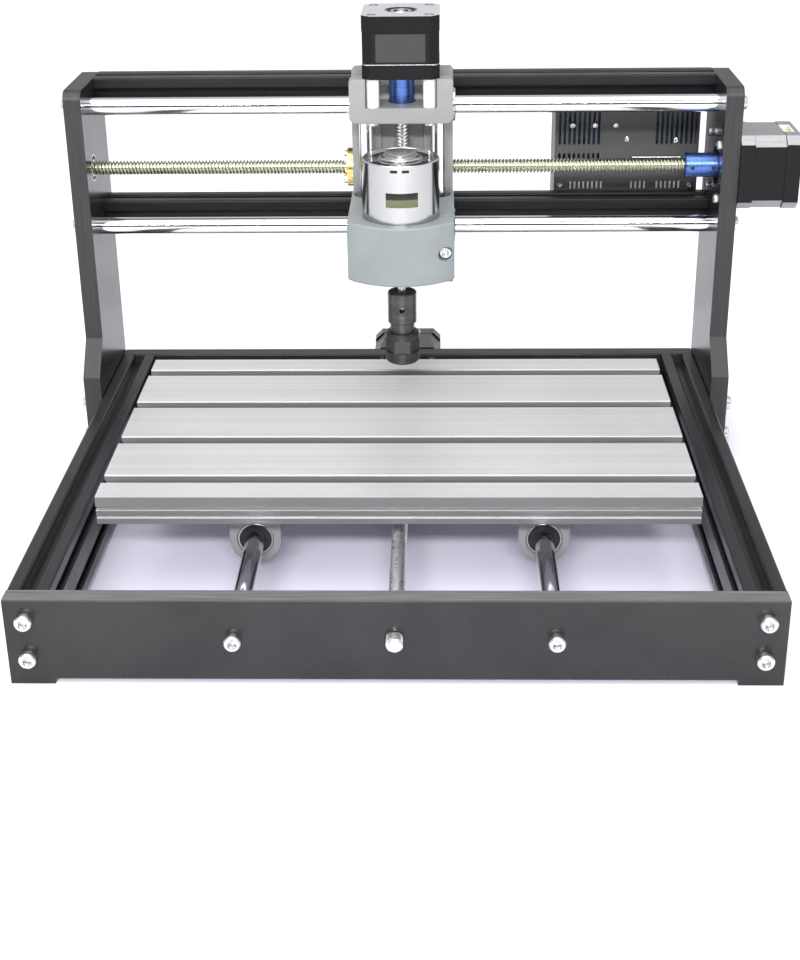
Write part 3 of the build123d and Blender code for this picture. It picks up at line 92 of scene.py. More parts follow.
# ---------------------------------------------------------------- node materials
class Look:
    """A material round one Principled shader. Patterns are in object coordinates, per metre."""

    def __init__(self, name, colour, metallic=0.0, roughness=0.5, **sockets):
        self.material = bpy.data.materials.new(name)
        self.material.use_nodes = True
        self.tree = self.material.node_tree
        self.shader = self.tree.nodes["Principled BSDF"]
        self.shader.inputs["Base Color"].default_value = (*colour, 1.0)
        self.shader.inputs["Metallic"].default_value = metallic
        self.shader.inputs["Roughness"].default_value = roughness
        for key, value in sockets.items():
            self.shader.inputs[key.replace("_", " ")].default_value = value
        self.coordinates = self.new("TexCoord")
        self.place = self.coordinates.outputs["Object"]

    def new(self, kind, **fields):
        node = self.tree.nodes.new("ShaderNode" + kind)
        for key, value in fields.items():
            setattr(node, key, value)
        return node

    def feed(self, target, source):
        """Puts a socket or a plain value into an input."""
        if isinstance(source, bpy.types.NodeSocket):
            self.tree.links.new(source, target)
        elif isinstance(source, (tuple, list)):
            lacks_alpha = len(source) == 3 and len(target.default_value) == 4
            target.default_value = (*source, 1.0) if lacks_alpha else source
        else:
            target.default_value = source

    def noise(self, scale, stretch=(1, 1, 1), detail=3.0, place=None):
        mapping = self.new("Mapping")
        mapping.inputs["Scale"].default_value = [scale * s for s in stretch]
        self.feed(mapping.inputs["Vector"], place or self.place)
        texture = self.new("TexNoise")
        texture.inputs["Scale"].default_value = 1.0
        texture.inputs["Detail"].default_value = detail
        self.feed(texture.inputs["Vector"], mapping.outputs["Vector"])
        return texture.outputs["Fac"]

    def remap(self, value, low, high, to_low, to_high):
        node = self.new("MapRange")
        names = ("Value", "From Min", "From Max", "To Min", "To Max")
        for key, entry in zip(names, (value, low, high, to_low, to_high)):
            self.feed(node.inputs[key], entry)
        return node.outputs["Result"]

    def mix(self, factor, first, second, blend="MIX"):
        node = self.new("Mix", data_type="RGBA", blend_type=blend)
        self.feed(node.inputs[0], factor)
        self.feed(node.inputs[6], first)
        self.feed(node.inputs[7], second)
        return node.outputs[2]

    def math(self, operation, first, second=0.0):
        node = self.new("Math", operation=operation)
        self.feed(node.inputs[0], first)
        self.feed(node.inputs[1], second)
        return node.outputs[0]

    def facing(self, axis):
        """1 where the surface looks along the axis, either way, and 0 where it runs along it."""
        split = self.new("SeparateXYZ")
        self.feed(split.inputs[0], self.coordinates.outputs["Normal"])
        return self.remap(self.math("ABSOLUTE", split.outputs[axis]), 0.55, 0.75, 0.0, 1.0)

    def turned_place(self, axis, centre):
        """Radius from an axis through the centre, and height along it, as a vector."""
        flat = [0.0 if key == axis else 1.0 for key in "XYZ"]
        offset = self.new("VectorMath", operation="SUBTRACT")
        self.feed(offset.inputs[0], self.place)
        offset.inputs[1].default_value = centre
        squash = self.new("VectorMath", operation="MULTIPLY")
        self.feed(squash.inputs[0], offset.outputs[0])
        squash.inputs[1].default_value = flat
        length = self.new("VectorMath", operation="LENGTH")
        self.feed(length.inputs[0], squash.outputs[0])
        split = self.new("SeparateXYZ")
        self.feed(split.inputs[0], offset.outputs[0])
        both = self.new("CombineXYZ")
        self.feed(both.inputs[0], length.outputs["Value"])
        self.feed(both.inputs[1], split.outputs[axis])
        return both.outputs[0]

    def bump(self, height, depth_mm, strength=1.0, below=None):
        node = self.new("Bump")
        node.inputs["Strength"].default_value = strength
        node.inputs["Distance"].default_value = depth_mm * MM
        self.feed(node.inputs["Height"], height)
        if below is not None:
            self.feed(node.inputs["Normal"], below)
        return node.outputs["Normal"]

    def soft_edges(self, radius_mm):
        """Normals that round a sharp edge off a little."""
        node = self.new("Bevel", samples=4)
        node.inputs["Radius"].default_value = radius_mm * MM
        return node.outputs["Normal"]

    def colour(self, source):
        self.feed(self.shader.inputs["Base Color"], source)

    def roughness(self, source):
        self.feed(self.shader.inputs["Roughness"], source)

    def normal(self, source):
        self.feed(self.shader.inputs["Normal"], source)


def stretched(axis, along=0.02):
    """Stretch factors for lines that run along an axis."""
    return [along if key == axis else 1.0 for key in "XYZ"]


def stacked(axis, across=0.02):
    """Stretch factors for thin layers or rings that are square to an axis."""
    return [1.0 if key == axis else across for key in "XYZ"]


def scaled(colour, factor):
    """A lighter or darker version of a colour."""
    return tuple(min(part * factor, 1.0) for part in colour)


def phenolic(name, axis, edge_tone_and_highlight=1.0, sheen=1.42):
    """Dark laminated plate. The axis is square to its sheet; its cut edges show the layers, and a factor
    scales their colour: below 1 a darker tone, above 1 a painted highlight.
    """
    look = Look(name, (0.02, 0.02, 0.022), roughness=0.3, IOR=sheen)
    cloud = look.remap(look.noise(26.0, detail=5.0), 0.35, 0.65, 0.0, 1.0)
    face = look.mix(cloud, (0.013, 0.013, 0.0145), (0.021, 0.021, 0.0225))
    speck = look.remap(look.noise(3200.0, detail=1.0), 0.58, 0.74, 0.0, 0.5)
    face = look.mix(speck, face, (0.045, 0.045, 0.048))
    layers = look.noise(2400.0, stacked(axis, 0.01), detail=1.0)
    darker, lighter = [0.024 * edge_tone_and_highlight] * 3, [0.046 * edge_tone_and_highlight] * 3
    edge = look.mix(look.remap(layers, 0.4, 0.6, 0.0, 1.0), darker, lighter)
    cut = look.math("SUBTRACT", 1.0, look.facing(axis))
    look.colour(look.mix(cut, face, edge))
    rub = look.noise(90.0, stretched("X", 0.3), detail=6.0)
    worn = look.remap(rub, 0.3, 0.7, 0.245, 0.27)
    look.roughness(look.math("ADD", worn, look.math("MULTIPLY", cut, 0.18)))
    texture = look.noise(1500.0, detail=2.0)
    layered = look.bump(look.math("MULTIPLY", layers, cut), 0.03, 0.5, look.soft_edges(0.5))
    look.normal(look.bump(texture, 0.012, 0.4, layered))
    return look


def anodised_black(name, axis, sheen=1.45):
    """Black anodised extrusion: fine die lines along the axis and faint smudges."""
    look = Look(name, (0.012, 0.012, 0.013), metallic=0.1, roughness=0.36, IOR=sheen)
    lines = look.noise(3000.0, stretched(axis, 0.004), detail=2.0)
    wide = look.noise(500.0, stretched(axis, 0.01), detail=3.0)
    both = look.math("ADD", look.math("MULTIPLY", lines, 0.6), look.math("MULTIPLY", wide, 0.4))
    streaks = look.remap(both, 0.35, 0.65, 0.0, 1.0)
    look.colour(look.mix(streaks, (0.008, 0.008, 0.009), (0.022, 0.022, 0.024)))
    smudge = look.noise(35.0, detail=4.0)
    dull = look.remap(smudge, 0.4, 0.7, 0.0, 0.1)
    look.roughness(look.math("ADD", look.remap(both, 0.3, 0.7, 0.26, 0.36), dull))
    look.normal(look.bump(both, 0.02, 0.5, look.soft_edges(0.4)))
    return look


def chrome(name, axis, tint=(0.80, 0.80, 0.815)):
    """Ground and hard-chromed rod: faint grinding rings and a few handling marks."""
    look = Look(name, tint, metallic=1.0, roughness=0.08)
    rings = look.noise(5000.0, stacked(axis), detail=1.0)
    marks = look.noise(60.0, stretched(axis, 0.25), detail=5.0)
    look.colour(look.mix(look.remap(marks, 0.45, 0.75, 0.0, 1.0), tint, scaled(tint, 0.86)))
    handled = look.remap(marks, 0.35, 0.75, 0.05, 0.14)
    look.roughness(look.math("ADD", handled, look.remap(rings, 0.3, 0.7, 0.0, 0.05)))
    look.normal(look.bump(rings, 0.006, 0.35))
    return look


def turned(name, colour, axis, centre, metallic=1.0, roughness=0.25, vary=0.18, depth=0.02):
    """Lathe-turned metal: rings round the axis, on its end faces as well as along it."""
    look = Look(name, colour, metallic=metallic, roughness=roughness)
    place = look.turned_place(axis, centre)
    rings = look.noise(4200.0, detail=2.0, place=place)
    broad = look.noise(900.0, detail=2.0, place=place)
    patches = look.noise(220.0, detail=4.0)
    mark = look.math("ADD", look.math("MULTIPLY", rings, 0.5), look.math("MULTIPLY", broad, 0.5))
    darker = scaled(colour, 1 - vary)
    tone = look.mix(look.remap(mark, 0.35, 0.65, 0.0, 1.0), darker, scaled(colour, 1 + vary))
    look.colour(look.mix(look.remap(patches, 0.5, 0.8, 0.0, 0.35), tone, darker))
    look.roughness(look.remap(mark, 0.3, 0.7, roughness * 0.75, roughness * 1.3))
    look.normal(look.bump(rings, depth, 0.4))
    return look


def plated(name, colour, roughness=0.28, metallic=1.0):
    """Small plated or ground steel pieces: cloudy sheen with fine pits."""
    look = Look(name, colour, metallic=metallic, roughness=roughness)
    cloud = look.noise(420.0, detail=5.0)
    pits = look.noise(4200.0, detail=2.0)
    look.colour(look.mix(look.remap(cloud, 0.4, 0.7, 0.0, 1.0), colour, scaled(colour, 0.78)))
    look.roughness(look.remap(cloud, 0.3, 0.7, roughness * 0.75, roughness * 1.35))
    look.normal(look.bump(pits, 0.008, 0.4))
    return look


def moulded(name, colour, roughness=0.45, grain=2600.0, depth=0.02, vary=0.1, edge=0.5):
    """Moulded plastic or paint with a fine even texture and slight unevenness."""
    look = Look(name, colour, roughness=roughness)
    cloud = look.noise(55.0, detail=4.0)
    fine = look.noise(grain, detail=2.0)
    darker = scaled(colour, 1 - vary)
    tone = look.mix(look.remap(cloud, 0.35, 0.65, 0.0, 1.0), darker, scaled(colour, 1 + vary))
    look.colour(look.mix(look.remap(fine, 0.55, 0.75, 0.0, 0.3), tone, darker))
    uneven = look.remap(cloud, 0.3, 0.7, roughness - 0.06, roughness + 0.06)
    look.roughness(look.math("ADD", uneven, look.remap(fine, 0.3, 0.7, -0.03, 0.03)))
    look.normal(look.bump(fine, depth, 0.5, look.soft_edges(edge)))
    return look


def table_metal(name):
    """Silver anodised extrusion: die lines along it, faint scuffs, sawn ends, and painted shade that
    darkens its long sides.
    """
    look = Look(name, (0.72, 0.72, 0.735), metallic=0.6, roughness=0.4)
    hair = look.noise(2600.0, stretched("X", 0.002), detail=2.0)
    bands = look.noise(240.0, stretched("X", 0.003), detail=3.0)
    lines = look.math("ADD", look.math("MULTIPLY", hair, 0.5), look.math("MULTIPLY", bands, 0.5))
    streaks = look.remap(lines, 0.38, 0.62, 0.0, 1.0)
    body = look.mix(streaks, (0.67, 0.67, 0.665), (0.78, 0.78, 0.775))
    scuff = look.noise(28.0, detail=6.0)
    body = look.mix(look.remap(scuff, 0.55, 0.8, 0.0, 0.25), body, (0.56, 0.56, 0.565))
    saw = look.noise(1700.0, (1.0, 0.35, 1.0), detail=2.0)
    end = look.mix(look.remap(saw, 0.4, 0.6, 0.0, 1.0), (0.80, 0.80, 0.80), (0.92, 0.92, 0.92))
    # Painted shade: faces that look to the front or back are painted darker, for the shade on the
    # table's vertical long sides.
    body = look.mix(look.facing("Y"), body, (0.31, 0.31, 0.315))
    look.colour(look.mix(look.facing("X"), body, end))
    scuffed = look.remap(scuff, 0.4, 0.8, 0.0, 0.08)
    look.roughness(look.math("ADD", look.remap(lines, 0.3, 0.7, 0.32, 0.44), scuffed))
    look.normal(look.bump(lines, 0.025, 0.5, look.soft_edges(0.4)))
    return look


def two_faced(name, axis, side_colour, face_colour):
    """Black cast cap whose flat faces, square to the axis, get a lighter and more metallic finish. With
    the axis Z these are the tops and bottoms of the X and Y motors, where the lighter colour is a
    painted reflection; on the Z motor they are its end faces, partly bare metal and partly painted
    reflection.
    """
    look = Look(name, side_colour, roughness=0.36, IOR=1.27)
    flat = look.facing(axis)
    fine = look.noise(1800.0, detail=2.0)
    swirl = look.noise(900.0, stretched("X", 0.1), detail=2.0)
    # Painted reflection: the lighter colour of the flat faces, which on the Z motor's ends also stands
    # for bare metal.
    bare_and_sheen = look.mix(look.remap(swirl, 0.35, 0.65, 0.0, 1.0), scaled(face_colour, 0.85), face_colour)
    black = look.mix(look.remap(fine, 0.4, 0.7, 0.0, 1.0), side_colour, scaled(side_colour, 1.6))
    look.colour(look.mix(flat, black, bare_and_sheen))
    look.feed(look.shader.inputs["Metallic"], look.remap(flat, 0.0, 1.0, 0.1, 0.9))
    smoother = look.math("MULTIPLY", flat, -0.04)
    look.roughness(look.math("ADD", look.remap(fine, 0.3, 0.7, 0.30, 0.40), smoother))
    look.normal(look.bump(fine, 0.025, 0.4, look.soft_edges(0.5)))
    return look


def lamination(name, axis):
    """Black-lacquered motor stack: thin sheets stacked along the axis."""
    look = Look(name, (0.008, 0.008, 0.009), roughness=0.4, IOR=1.27)
    wave = look.new("TexWave", wave_type="BANDS", bands_direction=axis, wave_profile="SIN")
    wave.inputs["Scale"].default_value = 320.0
    wave.inputs["Distortion"].default_value = 0.3
    look.feed(wave.inputs["Vector"], look.place)
    cloud = look.noise(300.0, detail=4.0)
    sheets = look.remap(wave.outputs["Fac"], 0.2, 0.8, 0.0, 1.0)
    look.colour(look.mix(sheets, (0.004, 0.004, 0.0044), (0.012, 0.012, 0.0125)))
    look.roughness(look.remap(cloud, 0.3, 0.7, 0.30, 0.46))
    look.normal(look.bump(wave.outputs["Fac"], 0.08, 0.6))
    return look


def banded_label(name, height, upper, lower):
    """A label with one plain band above a height, in millimetres, and another below it."""
    look = Look(name, lower, roughness=0.32)
    split = look.new("SeparateXYZ")
    look.feed(split.inputs[0], look.place)
    blur = 0.15
    above = look.remap(split.outputs["Z"], (height - blur) * MM, (height + blur) * MM, 0.0, 1.0)
    print_grain = look.noise(1400.0, detail=3.0)
    look.colour(look.mix(above, look.mix(print_grain, lower, scaled(lower, 1.35)), upper))
    look.roughness(look.remap(print_grain, 0.3, 0.7, 0.26, 0.38))
    look.normal(look.bump(print_grain, 0.01, 0.4))
    return look


def circuit(name):
    """Solder-masked board with fine copper tracks."""
    look = Look(name, (0.02, 0.05, 0.10), roughness=0.3, Coat_Weight=0.3)
    cells = look.new("TexVoronoi", distance="CHEBYCHEV")
    cells.inputs["Scale"].default_value = 260.0
    look.feed(cells.inputs["Vector"], look.place)
    tracks = look.remap(cells.outputs["Distance"], 0.30, 0.36, 0.0, 1.0)
    look.colour(look.mix(tracks, (0.012, 0.03, 0.085), (0.03, 0.085, 0.16)))
    look.roughness(look.remap(look.noise(600.0), 0.3, 0.7, 0.25, 0.4))
    look.normal(look.bump(tracks, 0.03, 0.6))
    return look


# A point on the turning axis of each lead screw and of the spindle, in millimetres and in metres.
X_LINE = extent("x_motor_caps")[2]
Y_LINE = extent("y_motor_caps")[2]
Z_LINE = extent("z_motor_caps")[2]
SPINDLE_LINE = extent("spindle_end_cap")[2]
X_AXIS, Y_AXIS, Z_AXIS, SPINDLE = [at(*line) for line in (X_LINE, Y_LINE, Z_LINE, SPINDLE_LINE)]
BLUE = (0.11, 0.20, 0.53)
BRASS = (0.78, 0.56, 0.22)
CAP_SIDE = (0.007, 0.007, 0.0075)

phenolic_y = phenolic("phenolic_across_y", "Y")
phenolic_x = phenolic("phenolic_across_x", "X", edge_tone_and_highlight=0.5, sheen=1.54)
# The front plate's cut edges are painted 3.6 times lighter: a painted highlight along its top edge.
phenolic_front = phenolic("phenolic_front", "Y", edge_tone_and_highlight=3.6)
black_y = anodised_black("black_anodised_y", "Y")
black_x = anodised_black("black_anodised_x", "X", sheen=1.3)
rod_y = chrome("rod_chrome_y", "Y")
rod_x = chrome("rod_chrome_x", "X")
rod_z = chrome("rod_chrome_z", "Z")
steel = plated("plated_steel", (0.74, 0.74, 0.74))
ground = plated("ground_steel", (0.60, 0.60, 0.61), roughness=0.2)
dark_steel = plated("dark_steel", (0.08, 0.08, 0.085), roughness=0.32, metallic=0.8)
seal = moulded("rubber_seal", (0.012, 0.012, 0.012), roughness=0.6)
# These caps paint the motors' upward and downward faces lighter: a painted reflection, and bare metal as
# well on the Z motor's ends.
cap_painted_sheen = two_faced("cast_cap_painted_sheen", "Z", CAP_SIDE, (0.40, 0.40, 0.405))
cap_dull = two_faced("cast_cap_dull", "Z", CAP_SIDE, (0.13, 0.13, 0.132))
cap_bright = two_faced("cast_cap_bright", "Z", (0.006, 0.006, 0.0065), (0.87, 0.87, 0.87))
stack_z = lamination("stack_z", "Z")
socket_nylon = moulded("socket_nylon", (0.78, 0.73, 0.60), roughness=0.4)
blue_x = turned("blue_anodised_x", BLUE, "X", X_AXIS, roughness=0.34)
blue_y = turned("blue_anodised_y", BLUE, "Y", Y_AXIS, roughness=0.34)
blue_z = turned("blue_anodised_z", BLUE, "Z", Z_AXIS, roughness=0.34)
brass_x = turned("brass_x", BRASS, "X", X_AXIS, roughness=0.24)
brass_y = turned("brass_y", BRASS, "Y", Y_AXIS, roughness=0.24)
brass_z = turned("brass_z", BRASS, "Z", Z_AXIS, roughness=0.24)
table_look = table_metal("table_aluminium")
grey = moulded("grey_plastic", (0.262, 0.262, 0.262), 0.42, vary=0.05, edge=0.9)
grey_cool = moulded("grey_plastic_cool", (0.235, 0.26, 0.268), 0.42, vary=0.05, edge=0.9)
nylon = moulded("white_nylon", (0.80, 0.80, 0.74), roughness=0.35, vary=0.04)
can = turned("can_chrome", (0.46, 0.46, 0.455), "Z", SPINDLE, roughness=0.17, vary=0.06, depth=0.01)
lid = turned("can_lid", (0.76, 0.76, 0.76), "Z", SPINDLE, roughness=0.2, vary=0.1)
oxide = turned("black_oxide", (0.095, 0.095, 0.094), "Z", SPINDLE, 0.85, 0.3, vary=0.3)
oxide_dark = turned("black_oxide_nut", (0.058, 0.058, 0.058), "Z", SPINDLE, 0.85, 0.34, vary=0.2)
case = moulded("case_black", (0.062, 0.062, 0.062), roughness=0.42, grain=2000.0, depth=0.03)
fan_plastic = moulded("fan_black", (0.012, 0.012, 0.013), roughness=0.4)
board = circuit("board_mask")
parts_look = moulded("board_parts", (0.04, 0.16, 0.07), roughness=0.35)
thread_steel = plated("rolled_thread", (0.86, 0.855, 0.86), roughness=0.3)
thread_warm = plated("rolled_thread_warm", (0.44, 0.45, 0.33), roughness=0.32)
bright_pin = plated("bright_pin", (0.82, 0.82, 0.80), roughness=0.25)
tinned = plated("tinned_pin", (0.86, 0.86, 0.84), roughness=0.5, metallic=0.15)
# Near-black for the spindle's vents and dents: painted shade of hollows.
painted_hole_shade = moulded("painted_hole_shade", (0.004, 0.004, 0.004), roughness=0.7)
label_grey = moulded("label_grey", (0.03, 0.03, 0.03), roughness=0.35, grain=900.0)
label_olive = banded_label("label_olive", 180.0, (0.012, 0.012, 0.010), (0.105, 0.115, 0.055))

finish_of = {
    "front_plate": phenolic_front, "rear_plate": phenolic_y,
    "left_gantry_plate": phenolic_x, "right_gantry_plate": phenolic_x,
    "left_rail": black_y, "right_rail": black_y,
    "upper_crossbar": black_x, "lower_crossbar": black_x,
    "left_y_rod": rod_y, "right_y_rod": rod_y,
    "upper_x_rod": rod_x, "lower_x_rod": rod_x, "z_rods": rod_z,
    "motor_screws": steel, "bed_screws": steel, "carriage_screws": steel, "clamp_screw": steel,
    "x_motor_stator": cap_painted_sheen, "y_motor_stator": cap_dull, "z_motor_stator": stack_z,
    "x_motor_caps": cap_painted_sheen, "y_motor_caps": cap_dull, "z_motor_caps": cap_bright,
    "motor_sockets": socket_nylon, "z_motor_socket": socket_nylon,
    "x_coupler": blue_x, "y_coupler": blue_y, "z_coupler": blue_z,
    "x_motor_shaft": ground, "y_motor_shaft": ground, "z_motor_shaft": ground,
    "table": table_look,
    "bearing_holders": grey, "y_nut_block": grey, "carriage_frame": grey, "spindle_holder": grey_cool,
    "x_brass_nut": brass_x, "y_brass_nut": brass_y, "z_brass_nut": brass_z,
    "motor_standoffs": nylon,
    "spindle_can": can, "spindle_end_cap": lid, "spindle_shaft": ground,
    "chuck_body": oxide, "collet": ground, "collet_nut": oxide_dark,
    "controller_case": case, "controller_cover": case,
    "controller_board": board, "board_components": parts_look,
    "fan_frame": fan_plastic, "fan_rotor": fan_plastic,
    "x_linear_bearings": ground, "y_linear_bearings": ground, "z_linear_bearings": ground,
    "screw_end_bearings": ground, "frame_screws": steel,
    "x_lead_screw": thread_steel, "y_lead_screw": thread_steel, "z_lead_screw": thread_steel,
}

for name, look in finish_of.items():
    mesh = nodes[name].data
    if not mesh.materials:
        mesh.materials.append(look.material)
    for index in range(len(mesh.materials)):
        mesh.materials[index] = look.material


# ---------------------------------------------------------------- mesh pieces
def make_piece(name, shape, body, looks, stands_for=(), smooth=35.0):
    """A finished mesh object on its body, which hides the imported nodes it stands for."""
    bmesh.ops.recalc_face_normals(shape, faces=shape.faces)
    mesh = bpy.data.meshes.new(name)
    shape.to_mesh(mesh)
    shape.free()
    mesh.shade_smooth()
    mesh.set_sharp_from_angle(angle=math.radians(smooth))
    piece = bpy.data.objects.new(name, mesh)
    scene.collection.objects.link(piece)
    for look in looks:
        mesh.materials.append(look.material)
    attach(piece, body)
    if stands_for:
        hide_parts(*stands_for)
    return piece


def ring(shape, local, radius, height, steps):
    """A ring of vertices round local z. The radius is a number or a function of the angle."""
    made = []
    for index in range(steps):
        turn = 2 * math.pi * index / steps
        r = radius(turn) if callable(radius) else radius
        made.append(shape.verts.new(local @ Vector((r * math.cos(turn), r * math.sin(turn), height))))
    return made


def skin(shape, rings, closed=(True, True), paint=None):
    """Faces between following rings, and flat caps on the first and last."""
    steps = len(rings[0])
    for row, (first, second) in enumerate(zip(rings, rings[1:])):
        for index in range(steps):
            after = (index + 1) % steps
            face = shape.faces.new((first[index], first[after], second[after], second[index]))
            face.material_index = paint[row] if paint else 0
    if closed[0]:
        shape.faces.new(rings[0]).material_index = paint[0] if paint else 0
    if closed[1]:
        shape.faces.new(rings[-1]).material_index = paint[-1] if paint else 0


def lathe(shape, local, profile, steps=40, closed=(True, True), paint=None, loop=False):
    """A turned shape from (radius, height) points. A loop joins the last point to the first."""
    rings = [ring(shape, local, radius, height, steps) for radius, height in profile]
    if loop:
        rings.append(rings[0])
    skin(shape, rings, (False, False) if loop else closed, paint)


def hexagon(apothem):
    """Radius of a hexagon as a function of the angle."""
    sixth = math.pi / 3
    return lambda turn: apothem / math.cos((turn + sixth / 2) % sixth - sixth / 2)


def knurled(radius, depth, teeth):
    """Radius of a knurled cylinder as a function of the angle."""
    return lambda turn: radius - depth * (0.5 + 0.5 * math.cos(turn * teeth))


def cap_screw(shape, local, head_r, head_h, flats, shank_r, shank, teeth=32):
    """A socket cap screw: knurled head with a hexagon socket, and a plain shank below."""
    steps = teeth * 3
    knurl = knurled(head_r - 0.02, 0.16, teeth)
    shoulder = head_r - 0.22
    socket = hexagon(flats / 2)
    rows = [
        (shank_r, -shank), (shank_r, 0.0), (head_r - 0.3, 0.0), (head_r - 0.2, 0.25), (knurl, 0.45),
        (knurl, head_h * 0.74), (shoulder, head_h * 0.78), (shoulder, head_h * 0.86),
        (head_r - 0.75, head_h), (flats / 2 + 0.75, head_h), (socket, head_h - 0.35),
        (socket, head_h * 0.45), (flats / 2 - 0.6, head_h * 0.38),
    ]
    skin(shape, [ring(shape, local, radius, height, steps) for radius, height in rows])


def lead_thread(shape, local, length, steps=28):
    """A right-hand trapezoidal thread, two starts, that stands on local z = 0."""
    pitch, starts, crest_r, root_r = 2.0, 2, 4.0, 2.9
    corners = [(0.0, root_r), (0.62, root_r), (0.92, crest_r), (1.62, crest_r), (1.96, root_r)]
    lead = pitch * starts
    first = -2 * starts
    count = int(length / pitch) + 4 * starts
    grid = []
    for index in range(steps):
        turn = 2 * math.pi * index / steps
        column = []
        for turn_index in range(first, count):
            for offset, radius in corners[:-1]:
                height = turn_index * pitch + offset + lead * turn / (2 * math.pi)
                taper = min(radius, root_r + max(min(height, length - height), 0.0) * 1.1)
                spot = Vector((taper * math.cos(turn), taper * math.sin(turn), height))
                column.append(shape.verts.new(local @ spot))
        grid.append(column)
    rows = len(grid[0])
    jump = starts * (len(corners) - 1)
    for index in range(steps):
        last = index == steps - 1
        near, far = grid[index], grid[0] if last else grid[index + 1]
        shift = jump if last else 0
        for row in range(rows - 1 - shift):
            shape.faces.new((near[row], far[row + shift], far[row + 1 + shift], near[row + 1]))
    axis = (local.to_3x3() @ Vector((0, 0, 1))).normalized()
    for height, way in ((0.0, -1), (length, 1)):
        everything = shape.verts[:] + shape.edges[:] + shape.faces[:]
        level = local @ Vector((0, 0, height))
        cut = bmesh.ops.bisect_plane(
            shape, geom=everything, dist=1e-9, plane_co=level, plane_no=axis * way, clear_outer=True
        )
        edges = [part for part in cut["geom_cut"] if isinstance(part, bmesh.types.BMEdge)]
        bmesh.ops.edgeloop_fill(shape, edges=edges)


def rounded_plate(shape, local, wide, high, thick, radius, steps=5, lip=0.06):
    """A thin plate with rounded corners that stands on local z = 0, with a soft upper edge."""

    def outline(inset, height):
        made = []
        for corner, (sx, sy) in enumerate(((1, 1), (-1, 1), (-1, -1), (1, -1))):
            for step in range(steps + 1):
                turn = math.pi / 2 * (corner + step / steps)
                r = max(radius - inset, 0.01)
                x = sx * (wide / 2 - radius) + r * math.cos(turn)
                y = sy * (high / 2 - radius) + r * math.sin(turn)
                made.append(shape.verts.new(local @ Vector((x, y, height))))
        return made

    skin(shape, [outline(0, 0.0), outline(0, thick - lip), outline(lip, thick)])


# ---------------------------------------------------------------- lead screws with real threads
threads = {"x": (X_LINE, thread_warm), "y": (Y_LINE, thread_steel), "z": (Z_LINE, thread_steel)}
for index, (key, (line, look)) in enumerate(threads.items()):
    node = f"{key}_lead_screw"
    low, high, _ = extent(node)
    length = high[index] - low[index]
    foot = line.copy()
    foot[index] = low[index]
    shape = bmesh.new()
    lead_thread(shape, facing(*foot, "+" + key.upper()), length)
    make_piece(f"{key}_screw_thread", shape, f"{key}_screw", [look], [node], smooth=28.0)

# ---------------------------------------------------------------- frame screws
# Head radius, head height, socket width, shank radius and shank length of each screw size.
M5_SCREW = (4.25, 5.0, 4.0, 2.4, 9.0)
M4_SCREW = (3.5, 4.0, 3.0, 1.95, 18.0)
M3_SCREW = (2.75, 3.0, 2.5, 1.45, 13.0)
FRONT_FACE = extent("front_plate")[0].y
REAR_FACE = extent("rear_plate")[1].y
REAR_SEAT = extent("rear_plate")[0].y
LEFT_FACE = extent("left_gantry_plate")[0].x
RIGHT_SEAT = extent("right_gantry_plate")[0].x
RIGHT_FACE = extent("right_gantry_plate")[1].x
SLOT_RISE = 10.0                  # from a rail's middle to the screws in its upper and lower slot
RAIL_SCREWS_Y = (246.0, 290.0)    # screws through a gantry plate into the rail
CLAMP_SCREW = (24.0, 191.5, 149.0)
MOTOR_SQUARE = [(first, second) for first in (-15.5, 15.5) for second in (-15.5, 15.5)]

rail = extent("right_rail")[2]
rail_levels = (rail.z + SLOT_RISE, rail.z - SLOT_RISE)
end_bolts = [(side * rail.x, z) for side in (-1, 1) for z in rail_levels]
end_bolts += [(middle.x, middle.z) for middle in (extent("left_y_rod")[2], extent("right_y_rod")[2])]
across = [extent(node)[2] for node in ("upper_x_rod", "lower_x_rod", "upper_crossbar", "lower_crossbar")]
side_bolts = [(middle.y, middle.z) for middle in across]
side_bolts += [(y, z) for y in RAIL_SCREWS_Y for z in reversed(rail_levels)]
shape = bmesh.new()
for x, z in end_bolts:
    cap_screw(shape, facing(x, FRONT_FACE, z, "-Y"), *M5_SCREW)
    cap_screw(shape, facing(x, REAR_FACE, z, "+Y"), *M5_SCREW)
for y, z in side_bolts:
    cap_screw(shape, facing(LEFT_FACE, y, z, "-X"), *M5_SCREW)
    cap_screw(shape, facing(RIGHT_FACE, y, z, "+X"), *M5_SCREW)
make_piece("frame_cap_screws", shape, "frame", [steel], ["frame_screws"])

shape = bmesh.new()
cap_screw(shape, facing(*CLAMP_SCREW, "-Y"), *M4_SCREW, teeth=26)
make_piece("clamp_cap_screw", shape, "head", [steel], ["clamp_screw"])

shape = bmesh.new()
for first, second in MOTOR_SQUARE:
    cap_screw(shape, facing(RIGHT_SEAT, X_LINE.y + first, X_LINE.z + second, "-X"), *M3_SCREW, teeth=20)
    cap_screw(shape, facing(Y_LINE.x + first, REAR_SEAT, Y_LINE.z + second, "-Y"), *M3_SCREW, teeth=20)
make_piece("motor_cap_screws", shape, "frame", [steel], ["motor_screws"])


